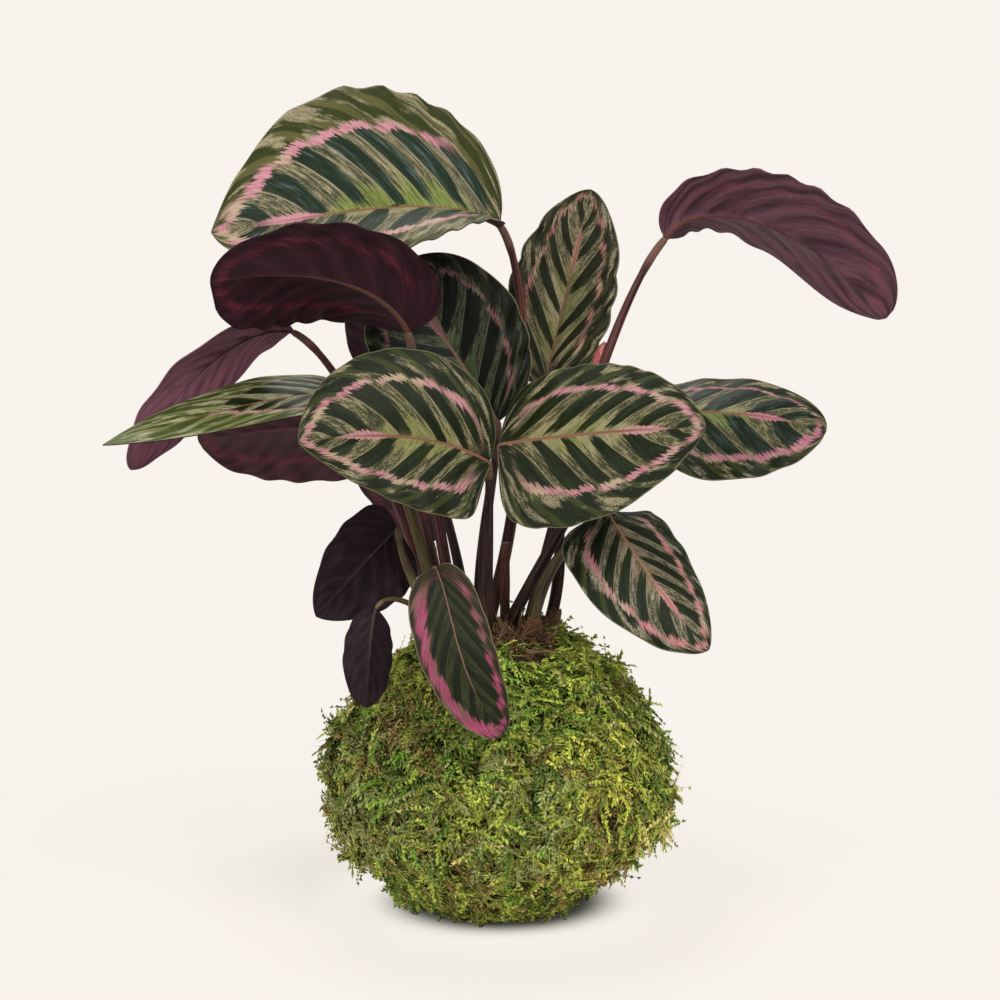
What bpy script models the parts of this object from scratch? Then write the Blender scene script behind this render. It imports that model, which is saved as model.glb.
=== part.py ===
"""A calathea grown in a moss ball: leaves on stalks, a rolled bud, a cut stub and dry sheaths on a
rhizome, its root ball, a soil ball and a moss cover. Metres, +Z up. The origin is the centre of the flat
foot that the moss ball rests on. Tables are in millimetres and degrees, which is how a leaf is measured."""

import math

import bmesh
import bpy
from mathutils import Vector
from mathutils.geometry import interpolate_bezier

MM = 0.001
CLEARANCE = 0.3  # between two pieces that touch

# Moss ball: two half ellipses that meet at its widest ring, cut off flat at the foot and open at the crown.
BALL_RADIUS = 82.5
BALL_MIDDLE_Z = 55.0
BALL_UPPER_HEIGHT = 81.0
BALL_LOWER_HEIGHT = 73.0
CROWN_RADIUS = 35.0
MOSS_THICKNESS = 8.0
OUTLINE_RINGS = 12
TURN_STEPS = 32

# Root ball: the nursery plug in the middle of the soil, and the rhizome that sits on it.
PLUG_TOP_RADIUS = 31.0
PLUG_FOOT_RADIUS = 22.0
PLUG_FOOT_Z = 45.0
RHIZOME_RADIUS = 33.0
RHIZOME_CHAMFER = 3.0
RHIZOME_TOP_Z = 127.0

# Leaves
BLADE_THICKNESS = 0.6
BLADE_ROWS = 11
BLADE_COLUMNS = 8
BASE_HALF_WIDTH = 1.8
TIP_HALF_WIDTH = 0.9
FOLD_EASE = 0.35  # share by which a blade's fold is stronger at its base, and weaker at its tip
STALK_POINTS = 12
STALK_BASE_RADIUS = 2.8
STALK_TOP_RADIUS = 1.25
STALK_END_RADIUS = 1.0
KNUCKLE_RADIUS = 1.7
KNUCKLE_SHARE = 0.88  # the thicker joint below the blade starts this far up the stalk

MATERIALS = {
    "moss": ((0.20, 0.27, 0.05), 0.95),
    "soil": ((0.055, 0.035, 0.022), 0.95),
    "roots": ((0.16, 0.10, 0.055), 0.9),
    "rhizome": ((0.12, 0.06, 0.035), 0.85),
    "leaf": ((0.045, 0.085, 0.03), 0.45),
    "stalk": ((0.085, 0.035, 0.03), 0.55),
    "dry_sheath": ((0.24, 0.14, 0.08), 0.85),
    "bud": ((0.42, 0.09, 0.09), 0.5),
}

# Small pieces between the stalks. Their places are points up from the rhizome: (x, y, z, radius).
BUD_POINTS = (
    (42.6, 24.6, 240, 1.4),
    (43.6, 26.6, 248, 3.2),
    (44.6, 27.6, 255, 3.4),
    (46.5, 28.0, 261, 1.8),
    (47.5, 28.0, 264, 0.5),
)
STUB_POINTS = ((3, 2, 127.5, 2.6), (2, 2, 145, 2.4), (2, 1, 160, 2.4), (3, 0, 172, 2.2))
SHEATH_THICKNESS = 0.5
SHEATH_RADIUS = 3.6
SHEATH_STEPS = 7
SHEATH_RINGS = 4
# Which stalk each dry sheath wraps, how high it stands, which way its middle faces, how far round it goes.
SHEATHS = {
    "arching_right": dict(height=16, middle=-95, sweep=230, flare=0.25),
    "right_side": dict(height=11, middle=-20, sweep=180, flare=0.3),
    "low_right": dict(height=13, middle=-120, sweep=210, flare=0.3),
    "upright_centre": dict(height=13, middle=-80, sweep=230, flare=0.2),
}

# One row for each leaf, with x from left to right, y from front to back and the upper side facing "face".
# spine: the midrib's four Bezier points, base to tip.
# halves: how wide the left and the right half are, looking from base to tip with the upper side up.
# twist: how far the blade turns about its midrib from base to tip.
# left and right: each half's fold up from flat at the midrib, and its further curl out to the margin.
# base and tip: how pointed each end is, 0.5 being as round as an ellipse.
# lobe: how far the halves reach back past the stalk.
# foot: where the stalk leaves the rhizome. rise: the stalk's first handle, from its foot. neck: its last.
LEAVES = {
    "top_left": dict(
        spine=((0, 26, 320), (-30, 18, 337), (-80, 0, 326), (-132, -14, 320)),
        halves=(64, 78), base=0.5, tip=0.95, lobe=4,
        face=(0.0, -0.75, 0.66), twist=20, left=(36, -5), right=(2, -10),
        foot=(-9, -5), rise=(26, 40, 66), neck=(16, 40, 300),
    ),
    "dark_left": dict(
        spine=((-42, -25, 276), (-52, -38, 300), (-88, -52, 311), (-129, -60, 302)),
        halves=(33, 35), base=0.5, tip=0.6, lobe=8,
        face=(-0.1, 0.92, 0.38), twist=0, left=(0, -20), right=(35, -25),
        foot=(-18, -3), rise=(-14, -8, 66), neck=(-37, -16, 256),
    ),
    "far_left": dict(
        spine=((-96, -6, 274), (-118, -10, 279), (-150, -16, 253), (-170, -20, 211)),
        halves=(26, 26), base=0.75, tip=0.45, lobe=4,
        face=(-0.3, 0.6, 0.7), twist=0, left=(-5, -20), right=(10, -20),
        foot=(-27, 1), rise=(-14, 0, 52), neck=(-70, 0, 262),
    ),
    "rolled_left": dict(
        spine=((-66, -22, 246), (-92, -28, 252), (-136, -46, 240), (-179, -54, 228)),
        halves=(29, 29), base=0.5, tip=0.9, lobe=3,
        face=(0.0, -0.28, 0.96), twist=0, left=(6, 0), right=(-4, 0),
        foot=(-25, -8), rise=(-12, -2, 52), neck=(-52, -14, 232),
    ),
    "front_left": dict(
        spine=((-5, -34, 217), (-26, -40, 231), (-58, -54, 235), (-88, -66, 234)),
        halves=(40, 42), base=0.75, tip=0.58, lobe=7,
        face=(-0.1, -0.9, 0.42), twist=0, left=(12, -10), right=(6, -10),
        foot=(-6, -17), rise=(-1, -6, 40), neck=(-4, -28, 196),
    ),
    "front_right": dict(
        spine=((0, -32, 225), (28, -42, 231), (62, -56, 236), (92, -66, 238)),
        halves=(45, 41), base=0.5, tip=0.7, lobe=10,
        face=(0.1, -0.82, 0.55), twist=0, left=(-12, -5), right=(-5, -8),
        foot=(-7, -11), rise=(-2, -4, 44), neck=(-6, -18, 206),
    ),
    "right_side": dict(
        spine=((66, -4, 236), (88, -2, 235), (120, -4, 238), (151, -8, 227)),
        halves=(35, 35), base=0.5, tip=0.5, lobe=4,
        face=(0.1, -0.6, 0.78), twist=0, left=(-16, -5), right=(-15, -5),
        foot=(-1, -10), rise=(18, 2, 36), neck=(46, -4, 214),
    ),
    "arching_right": dict(
        spine=((78, 32, 313), (90, 32, 334), (138, 28, 326), (180, 22, 276)),
        halves=(39, 37), base=0.8, tip=0.45, lobe=5,
        face=(0.2, 0.8, 0.55), twist=0, left=(34, 0), right=(0, -10),
        foot=(12, -1), rise=(12, 8, 54), neck=(54, 34, 288),
    ),
    "upright_centre": dict(
        spine=((23, 34, 252), (28, 38, 276), (36, 44, 306), (43, 50, 334)),
        halves=(26, 23), base=0.5, tip=0.7, lobe=3,
        face=(-0.1, -0.9, 0.3), twist=0, left=(5, 0), right=(15, 0),
        foot=(21, 5), rise=(18, 10, 50), neck=(18, 28, 220),
    ),
    "centre_back": dict(
        spine=((-1, 10, 229), (-10, 10, 245), (-30, 14, 275), (-50, 16, 300)),
        halves=(37, 37), base=0.7, tip=0.5, lobe=5,
        face=(0.1, -0.9, 0.3), twist=0, left=(5, 5), right=(5, 5),
        foot=(-8, 7), rise=(-6, 2, 40), neck=(0, 8, 205),
    ),
    "hidden_back": dict(
        spine=((-48, 52, 243), (-50, 56, 258), (-54, 60, 276), (-60, 58, 292)),
        halves=(22, 22), base=0.5, tip=0.55, lobe=3,
        face=(-0.1, 0.9, 0.4), twist=0, left=(5, -10), right=(5, -10),
        foot=(-15, 15), rise=(-4, 6, 50), neck=(-40, 46, 222),
    ),
    "low_left": dict(
        spine=((-52, 28, 220), (-76, 34, 226), (-116, 42, 222), (-144, 44, 214)),
        halves=(22, 37), base=0.5, tip=0.5, lobe=4,
        face=(-0.1, 0.75, 0.65), twist=0, left=(5, -20), right=(0, -15),
        foot=(-24, 9), rise=(-10, 4, 44), neck=(-42, 30, 206),
    ),
    "drooping_left": dict(
        spine=((-48, -22, 184), (-56, -28, 178), (-70, -38, 162), (-84, -44, 147)),
        halves=(25, 25), base=0.5, tip=0.72, lobe=6,
        face=(-0.4, 0.9, 0.1), twist=0, left=(-15, 0), right=(-10, 0),
        foot=(-21, -15), rise=(-14, -14, 20), neck=(-46, -36, 172),
    ),
    "small_hanging": dict(
        spine=((-57, -44, 151), (-59, -48, 145), (-60, -52, 128), (-61, -54, 107)),
        halves=(12, 12), base=0.7, tip=0.5, lobe=2,
        face=(-0.3, 0.9, 0.2), twist=0, left=(10, 0), right=(10, 0),
        foot=(-13, -22), rise=(-20, -8, 20), neck=(-50, -38, 162),
    ),
    "pink_front": dict(
        spine=((-31, -60, 172), (-19, -74, 164), (-18, -84, 134), (2, -84, 100)),
        halves=(17, 21), base=0.6, tip=0.42, lobe=4,
        face=(0.1, -0.9, 0.4), twist=0, left=(20, 0), right=(0, 0),
        foot=(-6, -25), rise=(-8, -14, 24), neck=(-36, -46, 172),
    ),
    "low_right": dict(
        spine=((51, -20, 186), (58, -30, 178), (74, -44, 156), (95, -52, 133)),
        halves=(31, 31), base=0.35, tip=0.7, lobe=18,
        face=(0.3, -0.85, 0.45), twist=0, left=(-18, -8), right=(-12, -8),
        foot=(14, -13), rise=(2, -1, 42), neck=(43, -4, 185),
    ),
    "behind_left": dict(
        spine=((-32, 50, 164), (-40, 56, 175), (-54, 62, 188), (-70, 66, 197)),
        halves=(18, 18), base=0.5, tip=0.55, lobe=3,
        face=(-0.1, 0.7, 0.7), twist=0, left=(5, -10), right=(5, -10),
        foot=(-22, 17), rise=(-6, 4, 16), neck=(-30, 44, 154),
    ),
}


def clear_scene():
    for thing in list(bpy.data.objects):
        bpy.data.objects.remove(thing)


def make_material(name):
    colour, roughness = MATERIALS[name]
    material = bpy.data.materials.new(name)
    material.use_nodes = True
    shader = material.node_tree.nodes["Principled BSDF"]
    shader.inputs["Base Color"].default_value = (*colour, 1.0)
    shader.inputs["Roughness"].default_value = roughness
    return material


def add_object(name, data, material, collection):
    made = bpy.data.objects.new(name, data)
    made.data.materials.append(material)
    collection.objects.link(made)
    return made


def ball_outline(inset, foot_z):
    """(radius, height) points down the ball's side from the crown opening to the foot, on its outer surface
    or on one that lies inside it."""
    wide = BALL_RADIUS - inset
    top_turn = math.acos(CROWN_RADIUS / wide)
    foot_turn = -math.asin((BALL_MIDDLE_Z - foot_z) / (BALL_LOWER_HEIGHT - inset))
    points = []
    for i in range(OUTLINE_RINGS):
        turn = top_turn + (foot_turn - top_turn) * i / (OUTLINE_RINGS - 1)
        tall = (BALL_UPPER_HEIGHT if turn > 0 else BALL_LOWER_HEIGHT) - inset
        points.append((wide * math.cos(turn), BALL_MIDDLE_Z + tall * math.sin(turn)))
    return points


def turned(name, profile, material, collection):
    """A solid of revolution. The profile starts and ends on the axis, and runs down its outer side."""
    mesh = bpy.data.meshes.new(name)
    work = bmesh.new()
    corners = [work.verts.new((r * MM, 0.0, z * MM)) for r, z in profile]
    for first, second in zip(corners, corners[1:]):
        work.edges.new((first, second))
    work.to_mesh(mesh)
    work.free()
    made = add_object(name, mesh, material, collection)
    screw = made.modifiers.new("turn", "SCREW")
    screw.axis = "Z"
    screw.steps = screw.render_steps = TURN_STEPS
    screw.use_merge_vertices = True
    screw.merge_threshold = 0.00001
    screw.use_smooth_shade = True
    return made


def make_moss_cover(material, collection):
    inside = ball_outline(MOSS_THICKNESS, MOSS_THICKNESS)
    outside = ball_outline(0.0, 0.0)
    profile = [(0.0, MOSS_THICKNESS), *reversed(inside), *outside, (0.0, 0.0)]
    return turned("moss_cover", profile, material, collection)


def soil_outline():
    inset = MOSS_THICKNESS + CLEARANCE
    return ball_outline(inset, inset)


def make_soil_ball(material, collection):
    outside = soil_outline()
    top_z, foot_z = outside[0][1], outside[-1][1]
    profile = [
        (0.0, PLUG_FOOT_Z - CLEARANCE),
        (PLUG_FOOT_RADIUS + CLEARANCE, PLUG_FOOT_Z - CLEARANCE),
        (PLUG_TOP_RADIUS + CLEARANCE, top_z),
        *outside,
        (0.0, foot_z),
    ]
    return turned("soil_ball", profile, material, collection)


def make_root_ball(material, collection):
    top_z = soil_outline()[0][1]
    profile = [(0.0, top_z), (PLUG_TOP_RADIUS, top_z), (PLUG_FOOT_RADIUS, PLUG_FOOT_Z), (0.0, PLUG_FOOT_Z)]
    return turned("root_ball", profile, material, collection)


def make_rhizome(material, collection):
    foot_z = soil_outline()[0][1] + CLEARANCE
    profile = [
        (0.0, RHIZOME_TOP_Z),
        (RHIZOME_RADIUS - RHIZOME_CHAMFER, RHIZOME_TOP_Z),
        (RHIZOME_RADIUS, RHIZOME_TOP_Z - RHIZOME_CHAMFER),
        (RHIZOME_RADIUS, foot_z),
        (0.0, foot_z),
    ]
    return turned("rhizome", profile, material, collection)


def bezier(points, steps):
    """steps + 1 points along a cubic Bezier, and the direction at each."""
    p0, p1, p2, p3 = (Vector(p) for p in points)
    line = interpolate_bezier(p0, p1, p2, p3, steps + 1)
    along = []
    for i in range(steps + 1):
        t = i / steps
        slope = (p1 - p0) * (1 - t) ** 2 + (p2 - p1) * 2 * t * (1 - t) + (p3 - p2) * t * t
        along.append(slope.normalized())
    return line, along


def half_width(leaf, u, widest_mm):
    """The blade's outline: round at the base, drawn out to a point, widest where its powers balance."""
    base_power, tip_power = leaf["base"], leaf["tip"]
    widest = base_power / (base_power + tip_power)
    peak = widest**base_power * (1 - widest) ** tip_power
    share = u**base_power * (1 - u) ** tip_power / peak
    least = BASE_HALF_WIDTH + (TIP_HALF_WIDTH - BASE_HALF_WIDTH) * u
    return max(least, share * widest_mm)


def across(fold, curl, share):
    """Where a half blade's cross-section has got to, as (out, up) in half widths: an arc that leaves the
    midrib at the fold angle and turns by the curl angle on its way to the margin."""
    fold, curl = math.radians(fold), math.radians(curl)
    if abs(curl) < 1e-4:
        return share * math.cos(fold), share * math.sin(fold)
    end = fold + curl * share
    return (math.sin(end) - math.sin(fold)) / curl, (math.cos(fold) - math.cos(end)) / curl


def make_blade(name, leaf, material, collection):
    """A grid laid over the leaf: rows from base to tip, columns from left margin to right margin."""
    spine, along = bezier(leaf["spine"], BLADE_ROWS)
    mesh = bpy.data.meshes.new(name)
    work = bmesh.new()
    bmesh.ops.create_grid(work, x_segments=BLADE_COLUMNS, y_segments=BLADE_ROWS, size=1.0)
    for corner in work.verts:
        v = corner.co.x
        row = round((corner.co.y + 1.0) / 2.0 * BLADE_ROWS)
        u = row / BLADE_ROWS
        face = Vector(leaf["face"])
        face = (face - face.dot(along[row]) * along[row]).normalized()
        turn = math.radians(leaf["twist"]) * (u - 0.5)
        side = along[row].cross(face)
        face, side = face * math.cos(turn) - side * math.sin(turn), side * math.cos(turn) + face * math.sin(turn)
        fold, curl = leaf["right"] if v > 0 else leaf["left"]
        wide = half_width(leaf, u, leaf["halves"][1 if v > 0 else 0])
        out, up = across(fold * (1.0 + FOLD_EASE * (1.0 - 2.0 * u)), curl, abs(v))
        back = leaf["lobe"] * v * v * (1 - u) ** 3 * min(1.0, 4.0 * u + 0.15)
        place = spine[row] + side * math.copysign(out * wide, v) + face * (up * wide) - along[row] * back
        corner.co = place * MM
    work.to_mesh(mesh)
    work.free()
    made = add_object(name, mesh, material, collection)
    shell = made.modifiers.new("thickness", "SOLIDIFY")
    shell.thickness = BLADE_THICKNESS * MM
    shell.offset = 0.0
    mesh.shade_smooth()
    return made


def stalk_radius(t):
    """Thick where it wraps its neighbours at the foot, slim above, thicker again at the joint."""
    if t == 1.0:
        return STALK_END_RADIUS
    slim = STALK_TOP_RADIUS + (STALK_BASE_RADIUS - STALK_TOP_RADIUS) * (1 - t) ** 1.5
    return KNUCKLE_RADIUS if t > KNUCKLE_SHARE else slim


def stalk_line(leaf):
    """The stalk's middle, from the rhizome to just under the blade's base, against its lower side."""
    rise = Vector(leaf["rise"])
    lift = 1.5 * CLEARANCE + STALK_BASE_RADIUS * math.sin(rise.angle(Vector((0, 0, 1))))
    foot = Vector((*leaf["foot"], RHIZOME_TOP_Z + lift))
    base = Vector(leaf["spine"][0])
    along = (Vector(leaf["spine"][1]) - base).normalized()
    face = Vector(leaf["face"])
    face = (face - face.dot(along) * along).normalized()
    end = base - face * (BLADE_THICKNESS / 2.0 + CLEARANCE + STALK_END_RADIUS)
    return bezier((foot, foot + rise, Vector(leaf["neck"]), end), STALK_POINTS - 1)[0]


def make_stalk(name, leaf, material, collection):
    line = stalk_line(leaf)
    radii = [stalk_radius(i / (len(line) - 1)) for i in range(len(line))]
    return make_rod(name, line, radii, material, collection)


def make_rod(name, line, radii, material, collection):
    curve = bpy.data.curves.new(name, "CURVE")
    curve.dimensions = "3D"
    curve.bevel_depth = MM
    curve.bevel_resolution = 2
    curve.use_fill_caps = True
    thread = curve.splines.new("POLY")
    thread.points.add(len(line) - 1)
    for point, place, radius in zip(thread.points, line, radii):
        point.co = (*(Vector(place) * MM), 1.0)
        point.radius = radius
    return add_object(name, curve, material, collection)


def make_sheath(name, leaf, sheath, material, collection):
    """A dry leaf base: a sheet bent part of the way round the foot of a stalk, flared and cut slantwise at
    its top."""
    line = stalk_line(leaf)
    lean = line[1] - line[0]
    lean /= lean.z
    foot = line[0] + lean * (RHIZOME_TOP_Z + 4.0 * CLEARANCE - line[0].z)
    mesh = bpy.data.meshes.new(name)
    work = bmesh.new()
    bmesh.ops.create_grid(work, x_segments=SHEATH_STEPS, y_segments=SHEATH_RINGS, size=1.0)
    for corner in work.verts:
        turn = math.radians(sheath["middle"] + sheath["sweep"] / 2.0 * corner.co.x)
        up = (corner.co.y + 1.0) / 2.0
        radius = SHEATH_RADIUS * (1.0 + sheath["flare"] * up * up)
        height = sheath["height"] * up * (1.0 - 0.35 * corner.co.x**2)
        place = foot + Vector((math.cos(turn), math.sin(turn), 0.0)) * radius
        place += lean * height
        corner.co = place * MM
    work.to_mesh(mesh)
    work.free()
    made = add_object(name, mesh, material, collection)
    shell = made.modifiers.new("thickness", "SOLIDIFY")
    shell.thickness = SHEATH_THICKNESS * MM
    shell.offset = 0.0
    mesh.shade_smooth()
    return made


def build():
    clear_scene()
    collection = bpy.data.collections.new("calathea_kokedama")
    bpy.context.scene.collection.children.link(collection)
    materials = {name: make_material(name) for name in MATERIALS}
    make_moss_cover(materials["moss"], collection)
    make_soil_ball(materials["soil"], collection)
    make_root_ball(materials["roots"], collection)
    make_rhizome(materials["rhizome"], collection)
    for name, leaf in LEAVES.items():
        make_blade(f"blade_{name}", leaf, materials["leaf"], collection)
        make_stalk(f"stalk_{name}", leaf, materials["stalk"], collection)
    for name, sheath in SHEATHS.items():
        make_sheath(f"dry_sheath_{name}", LEAVES[name], sheath, materials["dry_sheath"], collection)
    bud_line = [point[:3] for point in BUD_POINTS]
    make_rod("rolled_bud", bud_line, [point[3] for point in BUD_POINTS], materials["bud"], collection)
    stub_line = [point[:3] for point in STUB_POINTS]
    make_rod("cut_stub", stub_line, [point[3] for point in STUB_POINTS], materials["stalk"], collection)


build()
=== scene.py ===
import math

import bpy
import numpy as np
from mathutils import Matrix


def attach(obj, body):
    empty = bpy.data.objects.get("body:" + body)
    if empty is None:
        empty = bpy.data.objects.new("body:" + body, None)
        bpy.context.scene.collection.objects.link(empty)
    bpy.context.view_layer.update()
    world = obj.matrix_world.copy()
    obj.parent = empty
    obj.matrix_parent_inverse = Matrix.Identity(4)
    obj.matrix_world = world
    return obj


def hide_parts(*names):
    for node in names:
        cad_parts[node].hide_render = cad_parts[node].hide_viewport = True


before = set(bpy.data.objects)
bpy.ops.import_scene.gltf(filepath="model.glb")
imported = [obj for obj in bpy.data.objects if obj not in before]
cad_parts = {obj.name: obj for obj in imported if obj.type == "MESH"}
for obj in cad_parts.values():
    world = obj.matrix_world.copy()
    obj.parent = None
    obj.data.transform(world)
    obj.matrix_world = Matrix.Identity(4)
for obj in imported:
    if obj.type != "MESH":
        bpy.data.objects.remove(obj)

mm = 0.001
fullTurn = 2 * np.pi
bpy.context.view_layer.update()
scene = bpy.context.scene


def tint(red, green, blue):
    # a colour on a 0 to 255 scale, as the linear light that a shader wants
    light = (((c / 255 + 0.055) / 1.055) ** 2.4 if c > 10 else c / 255 / 12.92 for c in (red, green, blue))
    return (*light, 1.0)


def tinted(look):
    # a look with each of its colours, the values of three numbers, as linear light
    return {key: tint(*value) if isinstance(value, tuple) and len(value) == 3 else value
            for key, value in look.items()}


def dim(colour, share):
    # the same colour at a share of its light
    return tuple(c * share for c in colour[:3]) + (1.0,)


class Wire:
    # an output socket: arithmetic on it adds Math nodes to its material
    def __init__(self, paint, socket):
        self.paint, self.socket = paint, socket

    def math(self, operation, *others):
        return self.paint.node("ShaderNodeMath", dict(operation=operation), (self, *others))

    def __add__(self, other): return self.math("ADD", other)
    def __sub__(self, other): return self.math("SUBTRACT", other)
    def __rsub__(self, other): return self.paint.node("ShaderNodeMath", dict(operation="SUBTRACT"), (other, self))
    def __mul__(self, other): return self.math("MULTIPLY", other)
    def __pow__(self, other): return self.math("POWER", other)
    def __abs__(self): return self.math("ABSOLUTE")

    __radd__, __rmul__ = __add__, __mul__

    def least(self, other): return self.math("MINIMUM", other)
    def most(self, other): return self.math("MAXIMUM", other)
    def fraction(self): return self.math("FRACT")
    def whole(self): return self.math("FLOOR")

    def step(self, low, high):
        # 0 below low, 1 above high, and a smooth rise between them
        return self.paint.node("ShaderNodeMapRange", dict(interpolation_type="SMOOTHSTEP"),
                               {"Value": self, "From Min": low, "From Max": high})

    def bell(self, middle, reach):
        # 1 at the middle, falling smoothly to 0 at reach on both sides of it
        return abs(self - middle).step(reach, 0.0)

    def parts(self):
        split = self.paint.node("ShaderNodeSeparateXYZ", None, (self,))
        return [Wire(self.paint, s) for s in split.socket.node.outputs]


class Paint:
    # one material and the nodes in it
    def __init__(self, name):
        self.material = bpy.data.materials.new(name)
        self.material.use_nodes = True
        self.tree = self.material.node_tree
        self.shader = self.tree.nodes["Principled BSDF"]

    def put(self, target, key, value):
        # a wire is linked to the node's socket, and anything else is set in it
        if isinstance(value, Wire):
            self.tree.links.new(value.socket, target.inputs[key])
        else:
            target.inputs[key].default_value = value

    def node(self, kind, settings=None, sockets=(), out=0):
        made = self.tree.nodes.new(kind)
        for key, value in (settings or {}).items():
            setattr(made, key, value)
        for key, value in sockets.items() if isinstance(sockets, dict) else enumerate(sockets):
            self.put(made, key, value)
        return Wire(self, made.outputs[out])

    def attribute(self, name):
        return self.node("ShaderNodeAttribute", dict(attribute_name=name), out=1)

    def place(self):
        return self.node("ShaderNodeTexCoord", out=3)

    def point(self, x, y, z):
        return self.node("ShaderNodeCombineXYZ", None, (x, y, z))

    def noise(self, where, scale, detail=2.0, rough=0.5, distortion=0.0):
        return self.node("ShaderNodeTexNoise", None, {"Vector": where, "Scale": scale, "Detail": detail,
                                                      "Roughness": rough, "Distortion": distortion})

    def chance(self, number):
        return self.node("ShaderNodeTexWhiteNoise", dict(noise_dimensions="1D"), {"W": number})

    def mix(self, share, first, second):
        return self.node("ShaderNodeMix", dict(data_type="RGBA"), {0: share, 6: first, 7: second}, out=2)

    def shade(self, colour, amount):
        # the colour times a grey that varies over the surface
        colour = colour if isinstance(colour, Wire) else colour[:3]
        grey = self.point(amount, amount, amount)
        return self.node("ShaderNodeVectorMath", dict(operation="MULTIPLY"), (colour, grey))

    def finish(self, colour, roughness, height=None, depth=0.0, shine=0.5):
        # height is a bump, whose depth is in metres
        sockets = {"Base Color": colour, "Roughness": roughness, "Specular IOR Level": shine}
        if height is not None:
            bump = {"Height": height, "Distance": depth, "Strength": 1.0}
            sockets["Normal"] = self.node("ShaderNodeBump", None, bump)
        for key, value in sockets.items():
            self.put(self.shader, key, value)
        return self.material


def addPiece(name, points, faces, materials, replaced=(), slots=None, attributes=None):
    # points in millimetres; faces is a list of index arrays, all of one width each
    mesh = bpy.data.meshes.new(name)
    faces = [np.asarray(f, dtype=np.int32) for f in faces if len(f)]
    sizes = np.concatenate([np.full(len(f), f.shape[1], dtype=np.int32) for f in faces])
    corners = np.concatenate([f.ravel() for f in faces])
    mesh.vertices.add(len(points))
    mesh.vertices.foreach_set("co", np.asarray(points * mm, dtype=np.float32).ravel())
    mesh.loops.add(len(corners))
    mesh.loops.foreach_set("vertex_index", corners)
    mesh.polygons.add(len(sizes))
    mesh.polygons.foreach_set("loop_start", np.concatenate([[0], np.cumsum(sizes)[:-1]]).astype(np.int32))
    mesh.polygons.foreach_set("loop_total", sizes)
    if slots is not None:
        mesh.polygons.foreach_set("material_index", np.asarray(slots, dtype=np.int32))
    mesh.polygons.foreach_set("use_smooth", np.ones(len(sizes), dtype=bool))
    for material in materials:
        mesh.materials.append(material)
    for key, values in (attributes or {}).items():
        layer = mesh.attributes.new(key, "FLOAT_VECTOR", "POINT")
        layer.data.foreach_set("vector", np.asarray(values, dtype=np.float32).ravel())
    mesh.update(calc_edges=True)
    mesh.validate()
    made = bpy.data.objects.new(name, mesh)
    scene.collection.objects.link(made)
    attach(made, "root")
    if replaced:
        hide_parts(*replaced)


def unit(v):
    return v / np.maximum(np.linalg.norm(v, axis=-1, keepdims=True), 1e-12)


def smooth(x, low, high):
    # 0 below low, 1 above high, and a smooth rise between them
    t = np.clip((x - low) / (high - low), 0.0, 1.0)
    return t * t * (3 - 2 * t)


def bezier(points, t):
    # the cubic Bezier through four points, and its direction
    p0, p1, p2, p3 = (np.array(p, dtype=float) for p in points)
    t = np.asarray(t)[:, None]
    line = p0 * (1 - t) ** 3 + p1 * 3 * t * (1 - t) ** 2 + p2 * 3 * t * t * (1 - t) + p3 * t ** 3
    slope = (p1 - p0) * (1 - t) ** 2 + (p2 - p1) * 2 * t * (1 - t) + (p3 - p2) * t * t
    return line, unit(slope)


def softNoise(points, size, seed):
    # plane waves in random directions, each about size long, added up to about -1 to 1
    draw, waves = np.random.default_rng(seed), 24
    ways = unit(draw.normal(size=(waves, 3)))
    pace = fullTurn / size * draw.uniform(0.6, 1.5, waves)
    turns = draw.uniform(0, fullTurn, waves)
    return np.sin(points @ (ways * pace[:, None]).T + turns).sum(axis=1) / waves ** 0.5


def gridFaces(rows, columns, start=0, flip=False, closed=False):
    # quads over a grid of points: one more point than faces each way, or as many across where the rows close
    wide = columns if closed else columns + 1
    i, j = np.meshgrid(np.arange(rows), np.arange(columns), indexing="ij")
    k = (j + 1) % wide
    near, far = i * wide + start, (i + 1) * wide + start
    quads = np.stack([near + j, near + k, far + k, far + j], axis=-1).reshape(-1, 4)
    return quads[:, ::-1] if flip else quads


def ringFaces(rings, sides, flip=False):
    # quads between closed rings of points, and a fan at each end round the two points that follow them
    j = np.arange(sides)
    k = (j + 1) % sides
    if flip:
        j, k = k, j
    last, tip = (rings - 1) * sides, np.full(sides, rings * sides)
    fans = [np.stack([tip, k, j], axis=1), np.stack([tip + 1, last + j, last + k], axis=1)]
    return [gridFaces(rings - 1, sides, flip=flip, closed=True), *fans]


def sheet(points, above, below):
    # a surface made thick: a layer of its points moved out along their normals by above, then one moved in by below
    normal = unit(np.cross(np.gradient(points, axis=1), np.gradient(points, axis=0)))
    return np.concatenate([(points + normal * above).reshape(-1, 3), (points - normal * below).reshape(-1, 3)])


def sheetFaces(rows, columns):
    # the upper side, the lower side and the rim between them
    wide, total = columns + 1, (rows + 1) * (columns + 1)
    i, down = np.arange(wide), np.arange(1, rows + 1) * wide
    loop = np.concatenate([i, down + columns, (rows * wide + i[::-1])[1:], down[::-1][1:]])
    onward = np.roll(loop, -1)
    rim = np.stack([loop, loop + total, onward + total, onward], axis=1)
    return [gridFaces(rows, columns), gridFaces(rows, columns, total, True), rim]


def sheetValues(*values):
    # three values for each point, the same on both sides of a sheet
    return np.tile(np.stack(values, axis=-1).reshape(-1, 3), (2, 1))


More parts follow.
